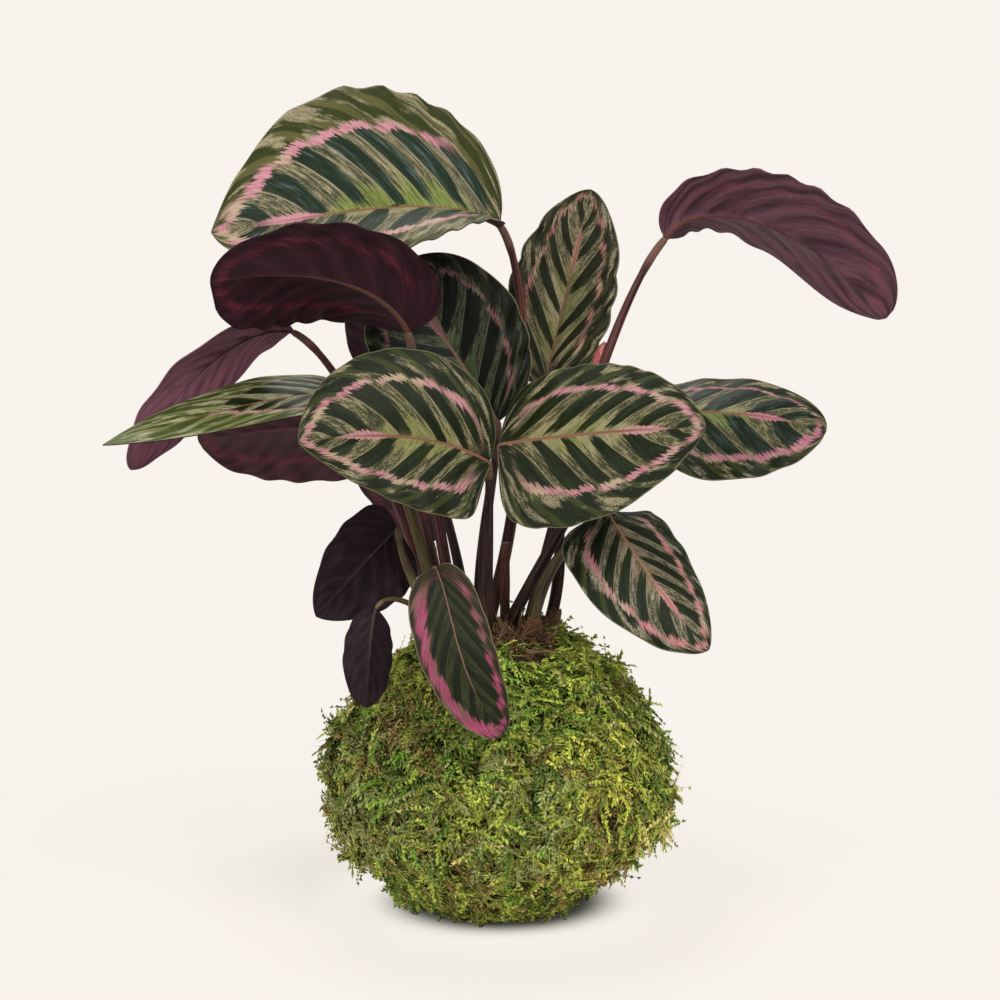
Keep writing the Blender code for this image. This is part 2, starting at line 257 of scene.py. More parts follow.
def tube(line, radius, sides, ridge):
    # a ridged profile carried along a path: centre + radius(t) ridge (cos a across + sin a up), closed at both ends
    along, front = unit(np.gradient(line, axis=0)), np.array([0.0, -1.0, 0.0])
    across = unit(front - (along @ front)[:, None] * along)
    up = np.cross(along, across)
    a = np.linspace(0, fullTurn, sides, endpoint=False)
    ring = across[:, None, :] * np.cos(a)[None, :, None] + up[:, None, :] * np.sin(a)[None, :, None]
    body = line[:, None, :] + ring * (radius[:, None] * ridge)[..., None]
    t, turn = np.meshgrid(np.linspace(0, 1, len(line)), a, indexing="ij")
    where = np.stack([t, np.cos(turn), np.sin(turn)], axis=-1)
    return (np.concatenate([body.reshape(-1, 3), line[:1], line[-1:]]), ringFaces(len(line), sides),
            np.concatenate([where.reshape(-1, 3), [[0, 0, 0], [1, 0, 0]]]))


def parabola(s, start, normal, flow, length, lift, curl, bend):
    # a strand's middle line, start + flow s + normal (lift s - bend s s) + side curl s s, for s up to its length
    side = np.cross(normal, flow)
    reach = length * s
    return start + flow * reach + normal * (lift * reach - bend * reach * s) + side * (curl * reach * s), side


def strandMesh(rings, half, *strands):
    # each strand is a three-sided taper along its parabola; strands holds what parabola wants, one row for each
    count = len(half)
    strands = [value[:, None] for value in strands]
    s = np.linspace(0, 1, rings + 1)[None, :, None]
    middle, side = parabola(s, *strands)
    size = half[:, None] * (1 - 0.3 * s[:, :-1])
    rim, across, above = middle[:, :-1], side * size, strands[1] * size * 0.75
    body = np.stack([rim + across, rim + above, rim - across], axis=2)
    points = np.concatenate([body.reshape(count, rings * 3, 3), middle[:, -1:]], axis=1)
    ends = np.array([[0, 2, 1], [0, 1, 3], [1, 2, 3], [2, 0, 3]])
    ends[1:] += (rings - 1) * 3
    shift = (np.arange(count) * (rings * 3 + 1))[:, None, None]
    faces = [(gridFaces(rings - 1, 3, closed=True) + shift).reshape(-1, 4), (ends + shift).reshape(-1, 3)]
    along = np.concatenate([np.repeat(np.arange(rings) / rings, 3), [1.0]])
    return points, faces, np.tile(along, (count, 1))


view = dict(target=(0.0, 0.0, 0.1934), distance=1.69, elevation=10.0, lens=130.3, paper=tint(248, 243, 236),
            sky=(1.0, 0.985, 0.965, 1.0), skyShare=0.36)
lamps = dict(
    key=dict(place=(0.65, -1.0, 1.45), size=1.1, power=17.0, colour=(1.0, 0.985, 0.955)),
    fill=dict(place=(-1.15, -0.95, 0.75), size=1.2, power=9.0, colour=(1.0, 0.985, 0.965)),
    back=dict(place=(-0.3, 1.1, 1.2), size=0.9, power=7.0, colour=(1.0, 0.99, 0.97)),
)
lampAim = (0.0, 0.0, 0.18)
# metres from the ball's middle, as pairs: where a change starts and where it is full
floorForm = dict(
    radius=0.6, sides=64, roughness=0.9,
    fade=(0.16, 0.42),  # where the paper thins out
    glow=(0.04, 0.88), glowFrom=(0.038, 0.066),  # painted light: the share of the paper's colour that glows, which no shadow takes, under the ball and away
    pool=0.16, poolFrom=(0.072, 0.100), poolTo=(0.175, 0.120),  # a wide soft ring of shade, where less of the paper glows
    contact=0.12, contactFrom=(0.038, 0.060),  # painted shadow: how much of the paper's colour is left right under the ball
)


def makeCamera():
    # on a circle round the target, at its elevation, looking along +Y
    lift = math.radians(view["elevation"])
    x, y, z = view["target"]
    data = bpy.data.cameras.new("camera")
    data.lens, data.sensor_width, data.clip_start, data.clip_end = view["lens"], 36.0, 0.05, 60.0
    made = bpy.data.objects.new("camera", data)
    made.location = (x, y - math.cos(lift) * view["distance"], z + math.sin(lift) * view["distance"])
    made.rotation_euler = (math.radians(90.0) - lift, 0.0, 0.0)
    scene.collection.objects.link(made)
    scene.camera = made


def makeLamps():
    for name, lamp in lamps.items():
        data = bpy.data.lights.new(name, "AREA")
        data.shape, data.size, data.energy, data.color = "DISK", lamp["size"], lamp["power"], lamp["colour"]
        made = bpy.data.objects.new(name, data)
        made.location = lamp["place"]
        x, y, z = np.array(lampAim) - np.array(lamp["place"])
        made.rotation_euler = (math.atan2(math.hypot(x, y), -z), 0.0, math.atan2(-x, y))
        scene.collection.objects.link(made)


def makeSky():
    # the paper colour for the camera, and a dimmer soft light for the object
    sky = bpy.data.worlds.new("studio")
    sky.use_nodes = True
    tree = sky.node_tree
    plain, soft = tree.nodes["Background"], tree.nodes.new("ShaderNodeBackground")
    for background, colour, strength in ((plain, view["paper"], 1.0), (soft, view["sky"], view["skyShare"])):
        background.inputs[0].default_value = colour
        background.inputs[1].default_value = strength
    ray = tree.nodes.new("ShaderNodeLightPath")
    either = tree.nodes.new("ShaderNodeMixShader")
    for order, source in enumerate((ray.outputs["Is Camera Ray"], soft.outputs[0], plain.outputs[0])):
        tree.links.new(source, either.inputs[order])
    tree.links.new(either.outputs[0], tree.nodes["World Output"].inputs[0])
    scene.world = sky
    scene.view_settings.view_transform = "Standard"


def makeFloor():
    # a round sheet of pale paper that thins out to nothing towards its rim; it partly glows as painted light, and a
    # painted shadow darkens it right under the ball
    form, paper = floorForm, view["paper"]
    paint = Paint("palePaper")
    x, y = paint.place().parts()[:2]
    reach = (x * x + y * y) ** 0.5
    near, far = form["glow"]
    # painted light: the paper glows, least right under the ball and less in a ring round it, so shade shows there
    pool = reach.step(*form["poolFrom"]) * reach.step(*form["poolTo"]) * form["pool"]
    glow = reach.step(*form["glowFrom"]) * (far - near) + near - pool
    # painted shadow: the paper's colour drawn darker right under the ball
    paintedContactShadow = reach.step(*form["contactFrom"]) * (1 - form["contact"]) + form["contact"]
    paint.finish(paint.shade(paper, (1 - glow) * paintedContactShadow), form["roughness"], shine=0.0)
    paint.put(paint.shader, "Emission Color", paint.shade(paper, glow))
    paint.put(paint.shader, "Emission Strength", 1.0)
    sheer = paint.node("ShaderNodeBsdfTransparent")
    solid = Wire(paint, paint.shader.outputs[0])
    both = paint.node("ShaderNodeMixShader", None, (reach.step(*form["fade"]), solid, sheer))
    paint.put(paint.tree.nodes["Material Output"], 0, both)
    sides = form["sides"]
    a = np.linspace(0, fullTurn, sides, endpoint=False)
    rim = np.stack([np.cos(a) * form["radius"], np.sin(a) * form["radius"], np.zeros(sides)], axis=1)
    mesh = bpy.data.meshes.new("floor")
    mesh.from_pydata(rim.tolist(), [], [list(range(sides))])
    mesh.materials.append(paint.material)
    made = bpy.data.objects.new("floor", mesh)
    scene.collection.objects.link(made)


makeCamera()
makeLamps()
makeSky()
makeFloor()
print("studio ready")


leafForm = dict(
    rows=78, columns=32,
    rowEase=0.55, columnEase=0.6,  # how much closer the grid's lines are at its edges and the midrib
    thickness=0.5,  # of a blade between its veins
    baseHalf=1.8, tipHalf=0.35,  # half widths at the very ends
    foldEase=0.35,  # how much stronger the fold is at the base
    ribDepth=1.5, ribWidth=1.3,  # the midrib that stands proud below
    grooveDepth=0.5, grooveWidth=1.1,  # the midrib's channel above
    veinDepth=0.16, veinWidth=0.14,  # a side vein below, its width as a share of the gap to the next
    veinCurve=0.16, veinEase=0.35, veinWander=0.16,  # how side veins bend forward, ease off to the tip, and stray
    outline=140,  # points along the pink line
)
# spine: four points of the midrib, base to tip. halves: widest left and right of it. base, tip: powers of the outline.
# lobe: how far the base reaches back past the stalk. left, right: degrees each half is folded up, then curled.
# foot, rise, neck: the stalk's start, its first direction, and where it turns to the blade.
# quilt: how far the blade swells between veins. wave and waves: how far, and how often, its margin rises and falls.
# nick: how deeply the margin dips in where it waves. veins: side veins on each side. slant: how far they run forward.
plainLeaf = dict(base=0.5, tip=0.5, lobe=4, twist=0,
                 stalk="red", quilt=0.8, wave=0.6, waves=4.0, nick=0.02, veins=6.0, slant=0.40)
leaves = {
    "top_left": dict(
        spine=((0, 26, 320), (-30, 18, 337), (-80, 0, 326), (-132, -14, 320)), halves=(58, 78), look="big",
        base=(0.52, 0.60), tip=(0.66, 0.90), lobe=(-4, 2), face=(0.0, -0.75, 0.66), twist=20, left=(37, -5),
        right=(2, -10),
        foot=(-9, -5), rise=(26, 40, 66), neck=(16, 40, 300), quilt=1.1, wave=1.2, waves=9.5, nick=-0.03, veins=7.5,
        slant=0.30),
    "dark_left": dict(
        spine=((-42, -25, 276), (-52, -38, 300), (-88, -52, 311), (-129, -60, 302)), halves=(33, 35), look="wine",
        tip=(0.56, 0.24), lobe=8, face=(-0.1, 0.92, 0.38), left=(0, -20), right=(35, -25),
        foot=(-18, -3), rise=(-14, -8, 66), neck=(-37, -16, 256), wave=1.2, waves=5.0, nick=-0.035, slant=0.34),
    "far_left": dict(
        spine=((-96, -6, 274), (-118, -10, 279), (-150, -16, 253), (-170, -20, 211)), halves=(26, 26), look="mauve",
        base=0.75, tip=0.62, face=(-0.3, 0.6, 0.7), left=(-5, -20), right=(10, -20),
        foot=(-27, 1), rise=(-14, 0, 52), neck=(-70, 0, 262), wave=0.8, waves=3.6, veins=8.0, slant=0.38),
    "rolled_left": dict(
        spine=((-66, -22, 246), (-92, -28, 252), (-136, -46, 240), (-179, -54, 228)), halves=(29, 29), look="pale",
        tip=0.9, lobe=3, face=(0.0, -0.28, 0.96), left=(6, 0), right=(-4, 0),
        foot=(-25, -8), rise=(-12, -2, 52), neck=(-52, -14, 232), stalk="olive", quilt=0.6, wave=0.35, waves=3.0,
        nick=0.004),
    "front_left": dict(
        spine=((-5, -34, 217), (-26, -40, 231), (-58, -54, 235), (-90, -67, 231)), halves=(36, 42), look="rose",
        base=(0.54, 0.66), tip=(0.80, 0.70), lobe=(25, 2), face=(-0.1, -0.9, 0.42), left=(12, -10), right=(6, -10),
        foot=(-6, -17), rise=(-1, -6, 40), neck=(-4, -28, 196), stalk="black", quilt=0.6, wave=0.5, waves=5.0,
        nick=0.012, slant=0.42),
    "front_right": dict(
        spine=((0, -32, 225), (28, -42, 231), (62, -56, 236), (92, -66, 238)), halves=(43, 43), look="rose",
        base=(0.44, 0.46), tip=(0.74, 0.76), lobe=(14, 25), face=(0.1, -0.82, 0.55), left=(-12, -5), right=(-5, -8),
        foot=(-7, -11), rise=(-2, -4, 44), neck=(-6, -18, 206), stalk="black", quilt=0.6, waves=8.0, nick=0.018,
        veins=6.2, slant=0.42),
    "right_side": dict(
        spine=((66, -4, 236), (88, -2, 235), (120, -4, 238), (151, -8, 227)), halves=(35, 35), look="glossy",
        face=(0.1, -0.6, 0.78), left=(-16, -5), right=(-15, -5),
        foot=(-1, -10), rise=(18, 2, 36), neck=(46, -4, 214), stalk="black", nick=0.012, veins=5.2),
    "arching_right": dict(
        spine=((78, 32, 313), (90, 32, 334), (140, 28, 327), (181, 22, 276)), halves=(39, 34.5), look="plum",
        base=(0.72, 0.84), tip=(0.56, 0.50), lobe=5, face=(0.2, 0.8, 0.55), left=(34, 0), right=(0, -10),
        foot=(12, -1), rise=(12, 8, 54), neck=(54, 34, 288), quilt=1.5, wave=1.2, waves=7.5, nick=0.03, veins=7.0,
        slant=0.36),
    "upright_centre": dict(
        spine=((21, 31, 242), (27, 37, 270), (36, 44, 304), (43, 50, 334)), halves=(27, 25), look="tan",
        tip=0.62, lobe=3, face=(-0.1, -0.9, 0.3), left=(5, 0), right=(15, 0),
        foot=(21, 5), rise=(18, 10, 50), neck=(17, 26, 212), stalk="black", quilt=0.9, wave=1.2, waves=4.5, nick=0.07,
        veins=6.2, slant=0.46),
    "centre_back": dict(
        spine=((-1, 10, 229), (-10, 10, 245), (-30, 14, 275), (-50, 16, 300)), halves=(37, 37), look="night",
        base=0.7, lobe=5, face=(0.1, -0.9, 0.3), left=(5, 5), right=(5, 5),
        foot=(-8, 7), rise=(-6, 2, 40), neck=(0, 8, 205), stalk="black", wave=1.1, waves=5.5, nick=0.03, veins=6.4,
        slant=0.42),
    "hidden_back": dict(
        spine=((-48, 52, 243), (-50, 56, 258), (-54, 60, 276), (-60, 58, 292)), halves=(22, 22), look="umber",
        tip=0.55, lobe=3, face=(-0.1, 0.9, 0.4), left=(5, -10), right=(5, -10),
        foot=(-15, 15), rise=(-4, 6, 50), neck=(-40, 46, 222), stalk="black", quilt=0.5, veins=6.5),
    "low_left": dict(
        spine=((-52, 28, 220), (-76, 34, 226), (-116, 42, 222), (-144, 44, 214)), halves=(22, 37), look="crimson",
        face=(-0.1, 0.75, 0.65), left=(5, -20), right=(0, -15),
        foot=(-24, 9), rise=(-10, 4, 44), neck=(-42, 30, 206), quilt=0.9, wave=0.7, nick=0.015, veins=7.5),
    "drooping_left": dict(
        spine=((-48, -22, 184), (-56, -28, 178), (-70, -38, 162), (-84, -44, 147)), halves=(25, 25), look="ink",
        tip=0.72, lobe=6, face=(-0.4, 0.9, 0.1), left=(-15, 0), right=(-10, 0),
        foot=(-21, -15), rise=(-14, -14, 20), neck=(-46, -36, 172), stalk="olive", quilt=0.5, wave=0.7),
    "small_hanging": dict(
        spine=((-57, -44, 151), (-59, -48, 145), (-60, -52, 128), (-61, -54, 107)), halves=(12, 12), look="ink",
        base=0.7, lobe=2, face=(-0.3, 0.9, 0.2), left=(10, 0), right=(10, 0),
        foot=(-13, -22), rise=(-20, -8, 20), neck=(-50, -38, 162), stalk="olive", quilt=0.4, wave=0.5, nick=0.04),
    "pink_front": dict(
        spine=((-29, -60, 173), (-21, -74, 160), (-21, -84, 129), (1, -84, 101)), halves=(16, 19), look="magenta",
        base=(0.46, 0.42), tip=(0.42, 0.50), lobe=(3, 2), face=(0.1, -0.9, 0.4), left=(20, 0), right=(0, 0),
        foot=(-6, -25), rise=(-8, -14, 24), neck=(-36, -46, 172), quilt=0.5, waves=4.5, nick=0.03, veins=7.0,
        slant=0.44),
    "low_right": dict(
        spine=((50, -18, 191), (57, -29, 181), (74, -44, 156), (95, -52, 133)), halves=(31, 30), look="moss",
        base=(0.35, 0.41), tip=(0.7, 0.64), lobe=(18, 15), face=(0.3, -0.85, 0.45), left=(-18, -8), right=(-12, -8),
        foot=(14, -13), rise=(2, -1, 42), neck=(43, -4, 185), stalk="olive", quilt=0.7, wave=0.8, waves=5.0,
        nick=0.015, veins=6.2, slant=0.46),
    "behind_left": dict(
        spine=((-32, 50, 164), (-40, 56, 175), (-54, 62, 188), (-70, 66, 197)), halves=(18, 18), look="wine",
        tip=0.55, lobe=3, face=(-0.1, 0.7, 0.7), left=(5, -10), right=(5, -10),
        foot=(-22, 17), rise=(-6, 4, 16), neck=(-30, 44, 154), quilt=0.5),
}
leaves = {name: {**plainLeaf, **leaf} for name, leaf in leaves.items()}
# colours are on a 0 to 255 scale. ring: how far out the pink line runs, as a share of the half width.
# ringWide: its width in millimetres. ringSides: the share of it on the left and right. ringSpan, ringFade: where it
# runs along the leaf, and where it fades in. teeth, steps: how jagged it is, and how far it steps between veins.
# spread: the tufts' reach from the midrib. creamShare: how much pale speckling. glow: how strong a painted blue sheen
# on the dark bands is.
# feather, plume: how strong the pink feather on the midrib is, and where. band: half the width of a dark band.
plainLook = dict(
    dark=(39, 50, 20), deep=(21, 28, 9), pale=(104, 98, 66), cream=(188, 176, 138), rim=(60, 68, 32),
    rimDeep=(28, 36, 17), tuft=(150, 152, 90), pink=(182, 112, 124), rose=(208, 168, 162), rib=(140, 98, 76),
    edge=(146, 142, 108), bloom=(120, 140, 146), ring=0.66, ringWide=2.7, ringSides=(1.0, 1.0), ringSpan=(0.05, 0.965),
    ringFade=(0.10, 0.24), teeth=2.8, steps=1.8, spread=0.20, creamShare=0.46, glow=0.0, feather=1.0, plume=0.69,
    band=0.165, roughness=0.40, shine=0.15,
)
looks = {
    "big": dict(
        plume=0.79, ring=0.65, ringWide=4.7, ringFade=(0.20, 0.34), teeth=4.2, steps=2.6, tuft=(140, 156, 76),
        dark=(54, 66, 48), deep=(37, 50, 40), pink=(204, 132, 146), rose=(216, 164, 168), glow=0.55, spread=0.18,
        rim=(98, 98, 58), rimDeep=(60, 66, 34), pale=(136, 126, 98), cream=(196, 182, 148), shine=0.06),
    # glossy: its blue sheen on the dark bands is painted, through glow
    "glossy": dict(
        dark=(36, 52, 28), deep=(20, 34, 22), ring=0.70, pink=(176, 92, 124), rose=(204, 150, 152),
        tuft=(128, 148, 80), glow=0.35, ringWide=1.9, ringSides=(0.7, 1.6), band=0.20),
    "pale": dict(
        pale=(150, 148, 108), cream=(206, 204, 166), rim=(134, 140, 84), rimDeep=(74, 86, 42), dark=(38, 52, 26),
        ringWide=2.6, ring=0.80, ringSides=(1.0, 0.0), ringSpan=(0.02, 0.62), creamShare=0.6, shine=0.08, spread=0.05,
        band=0.20, feather=0.0),
    "tan": dict(
        pale=(114, 108, 80), cream=(190, 176, 144), ring=0.66, ringWide=1.2, pink=(168, 96, 98), rose=(180, 146, 124),
        spread=0.34, tuft=(144, 142, 90), dark=(44, 48, 24), deep=(30, 34, 15), band=0.13, rimDeep=(34, 38, 20),
        rim=(58, 60, 32)),
    "night": dict(
        dark=(20, 25, 15), deep=(12, 15, 9), pale=(70, 76, 56), cream=(116, 118, 94), rim=(36, 40, 20),
        rimDeep=(16, 20, 9), ringWide=1.3, pink=(126, 78, 80), rose=(136, 108, 100), tuft=(76, 88, 56),
        rib=(128, 92, 82), ring=0.70, spread=0.20, creamShare=0.3),
    "magenta": dict(
        ring=0.80, ringWide=4.6, ringSides=(0.3, 1.0), pink=(164, 66, 104), rose=(190, 98, 126), pale=(52, 58, 32),
        cream=(104, 100, 72), dark=(38, 43, 22), deep=(26, 31, 15), tuft=(50, 66, 32), spread=0.08, rib=(156, 110, 98),
        creamShare=0.15, rim=(78, 62, 46), rimDeep=(48, 44, 28), teeth=2.2, steps=2.0, feather=0.2),
    "moss": dict(
        pale=(124, 116, 92), cream=(192, 180, 154), ringWide=2.2, spread=0.22, tuft=(150, 130, 98),
        pink=(196, 120, 130), rose=(206, 156, 146), ring=0.70, rib=(168, 124, 100)),
}
underPlain = dict(
    base=(62, 28, 40), deep=(36, 15, 23), warm=(92, 40, 52), rib=(108, 74, 60), roughness=0.5, shine=0.18,
)
underLooks = {
    "wine": dict(warm=(116, 42, 62)),
    # mauve: the underside painted much lighter, as painted light on a leaf that the lamps leave in shade
    "mauve": dict(base=(162, 106, 126), deep=(96, 60, 74), warm=(172, 98, 118), rib=(74, 46, 48)),
    "crimson": dict(base=(82, 44, 52), deep=(46, 24, 30), warm=(126, 46, 62), rib=(128, 78, 78)),
    "plum": dict(base=(124, 82, 94), deep=(54, 33, 42), warm=(140, 76, 92), rib=(122, 76, 72)),
    "umber": dict(base=(74, 50, 58), deep=(44, 28, 34), warm=(82, 54, 62)),
    "ink": dict(base=(50, 34, 42), deep=(30, 19, 25), warm=(58, 40, 50), rib=(86, 68, 66)),
}


def lookOf(name, plain, own):
    # the plain look with one leaf's own values over it
    return tinted({**plain, **own.get(name, {})})


def pair(value):
    # one value for both halves, or one for each
    return value if isinstance(value, tuple) else (value, value)


def halfWidth(leaf, u, half):
    # u to the power base, times 1 - u to the power tip, scaled so that its peak is the widest half width
    b, t, widest = pair(leaf["base"])[half], pair(leaf["tip"])[half], leaf["halves"][half]
    top = b / (b + t)
    shape = u ** b * (1 - u) ** t / (top ** b * (1 - top) ** t)
    return np.maximum(leafForm["baseHalf"] + (leafForm["tipHalf"] - leafForm["baseHalf"]) * u, shape * widest)


def leafFrame(leaf, u):
    # the midrib's points, its direction, and the face squared to it, turned by twist on the way to the tip
    line, along = bezier(leaf["spine"], u)
    face = np.array(leaf["face"], dtype=float)
    face = unit(face - (along @ face)[:, None] * along)
    side = np.cross(along, face)
    turn = (np.radians(leaf["twist"]) * (u - 0.5))[:, None]
    return line, along, face * np.cos(turn) - side * np.sin(turn), side * np.cos(turn) + face * np.sin(turn)


def nearest(x, y, lineX, lineY):
    # the distance from each point to a polyline: the least over its pieces
    ax, ay, bx, by = lineX[:-1], lineY[:-1], lineX[1:], lineY[1:]
    px, py = x.ravel()[:, None], y.ravel()[:, None]
    dx, dy = bx - ax, by - ay
    t = np.clip(((px - ax) * dx + (py - ay) * dy) / (dx * dx + dy * dy + 1e-9), 0, 1)
    return np.sqrt(((px - ax - t * dx) ** 2 + (py - ay - t * dy) ** 2).min(axis=1)).reshape(x.shape)


def eased(low, parts, ease):
    # places from low to 1, t - ease sin(turn t) / turn: closer together at whole numbers
    t = np.linspace(low, 1, parts + 1)
    return t - ease * np.sin(fullTurn * t) / fullTurn


def leafSurface(leaf, seed):
    # a grid over the blade. Each half's section is an arc that leaves the midrib at the fold angle and turns by
    # the curl angle; margins wave as a sine of the length; the blade swells between side veins
    form = leafForm
    u, v = eased(0, form["rows"], form["rowEase"]), eased(-1, form["columns"], form["columnEase"])
    draw = np.random.default_rng(seed)
    line, along, face, side = leafFrame(leaf, u)
    uu, vv = np.meshgrid(u, v, indexing="ij")
    a = np.abs(vv)
    right = vv > 0
    phase = np.where(right, draw.uniform(0, 6.28), draw.uniform(0, 6.28))
    drift = np.where(right, 1.0, 0.86) * (1 + 0.18 * np.sin(uu * 5 + phase * 2))
    beat = np.pi * leaf["waves"] * uu * drift + phase
    wide = np.where(right, halfWidth(leaf, u, 1)[:, None], halfWidth(leaf, u, 0)[:, None])
    nick = leaf["nick"] * (np.abs(np.sin(beat)) - 0.55)
    full = wide * (1 + nick * smooth(uu, 0.0, 0.15) * smooth(a, 0.3, 1.0))
    fold, curl = (np.where(right, leaf["right"][k], leaf["left"][k]) for k in (0, 1))
    fold = np.radians(fold * (1 + form["foldEase"] * (1 - 2 * uu)))
    curl = np.radians(curl + 0.001)
    end = fold + curl * a
    out = (np.sin(end) - np.sin(fold)) / curl
    up = (np.cos(fold) - np.cos(end)) / curl
    # the vein coordinate is constant along a side vein, which leaves the midrib at a slant and curves forward
    bend = leaf["slant"] * a + form["veinCurve"] * a ** 3
    vein = uu - bend * (1 - form["veinEase"] * uu)
    count = vein * leaf["veins"] + np.where(right, 0.35, 0.0) + draw.uniform(0, 0.5)
    count = count + form["veinWander"] * np.sin(vein * 9 + phase)
    inner = smooth(a, 0.04, 0.35) * smooth(1 - a, 0.0, 0.4) * smooth(uu, 0.02, 0.2) * smooth(1 - uu, 0.0, 0.2)
    swell = leaf["quilt"] * (0.5 - 0.5 * np.cos(fullTurn * count)) * inner
    ripple = leaf["wave"] * np.sin(2 * beat) * smooth(a, 0.25, 1.0) ** 1.5 * smooth(uu, 0.03, 0.25)
    ripple = ripple * smooth(wide, 2.0, 14.0)
    groove = form["grooveDepth"] * np.exp(-(a * wide / form["grooveWidth"]) ** 2) * smooth(1 - uu, 0.0, 0.3)
    lobe = np.where(right, pair(leaf["lobe"])[1], pair(leaf["lobe"])[0])
    back = lobe * vv * vv * (1 - uu) ** 3 * np.minimum(1.0, 4 * uu + 0.05)
    rise = (up * full + swell + ripple - groove)[..., None]
    points = (line[:, None, :] + side[:, None, :] * (np.sign(vv) * out * full)[..., None]
              + face[:, None, :] * rise - along[:, None, :] * back[..., None])
    # the pink line is the leaf's own outline, drawn smaller inside it
    look = lookOf(leaf["look"], plainLook, looks)
    length = np.linalg.norm(np.diff(line, axis=0), axis=1).sum()
    mark = np.linspace(*look["ringSpan"], form["outline"])
    share = (mark - mark[0]) / (mark[-1] - mark[0])
    ring = np.empty_like(a)
    for half, chosen in enumerate((~right, right)):
        lineY = look["ring"] * np.maximum(0.0, halfWidth(leaf, share, half) - form["baseHalf"] * (1 - share))
        inside = (a * wide < np.interp(uu, mark, lineY)) & (uu > mark[0]) & (uu < mark[-1])
        gap = nearest(uu * length, a * wide, mark * length, lineY)
        ring = np.where(chosen, np.where(inside, -gap, gap), ring)
    return points, uu, vv, a, wide, vein * length, count, ring


def makeLeaf(name, leaf, materials, seed):
    form = leafForm
    points, u, v, a, wide, vein, count, ring = leafSurface(leaf, seed)
    ribScale = min(1.1, max(0.42, sum(leaf["halves"]) / 76))
    reach = a * wide / ribScale
    # the midrib and the side veins stand proud below
    rib = form["ribDepth"] * ribScale * (1 - u) ** 0.7 * np.exp(-(reach / (form["ribWidth"] * (1.15 - 0.7 * u))) ** 2)
    near = np.abs(count - np.round(count))
    veins = form["veinDepth"] * smooth(form["veinWidth"] - near, 0.0, 0.12) * smooth(1 - a, 0.1, 0.6)
    half = form["thickness"] / 2
    faces = sheetFaces(form["rows"], form["columns"])
    slots = np.arange(sum(len(block) for block in faces)) >= len(faces[0])
    places = {
        "leafPlace": sheetValues(u, v, count),
        "leafMeasure": sheetValues(ring, reach, wide * (1 - a)),
        "leafVein": sheetValues(vein, a, np.full_like(a, seed * 3.7)),
    }
    addPiece("leaf_" + name, sheet(points, half, (half + rib + veins)[..., None]), faces, materials,
             ["blade_" + name], slots, places)


# noises drawn along the side veins: scale along and across them, shift, detail and roughness
topGrains = dict(
    coarse=(0.42, 3.4, 0.0, 2.0, 0.55), streak=(1.15, 5.0, 5.0, 2.5, 0.6), fine=(3.2, 16.0, 9.0, 2.0, 0.6),
    blotch=(0.8, 9.0, 51.0, 3.0, 0.65), slow=(0.07, 1.5, 61.0, 1.0, 0.5), cloud=(0.12, 5.0, 31.0, 2.0, 0.5),
    jag=(0.95, 1.2, 17.0, 1.5, 0.6), jagToo=(1.0, 1.2, 23.0, 1.5, 0.6),
)
underGrains = dict(
    coarse=(0.30, 3.0, 0.0, 2.5, 0.6), streak=(1.1, 5.0, 5.0, 2.5, 0.6), fine=(3.0, 12.0, 9.0, 2.0, 0.6),
    cloud=(0.16, 2.4, 3.0, 3.0, 0.6),
)


def leafPlaces(paint, grains):
    # where a point is on its leaf, the noises there, and a seed for its half
    u, v, count = paint.attribute("leafPlace").parts()
    ring, reach, margin = paint.attribute("leafMeasure").parts()
    vein, a, seed = paint.attribute("leafVein").parts()
    sideSeed = seed + v.step(-0.01, 0.01) * 11.0
    noises = [paint.noise(paint.point(vein * along, a * across, sideSeed + shift), 1.0, detail, rough)
              for along, across, shift, detail, rough in grains.values()]
    return u, a, count, ring, reach, noises, v, margin, sideSeed


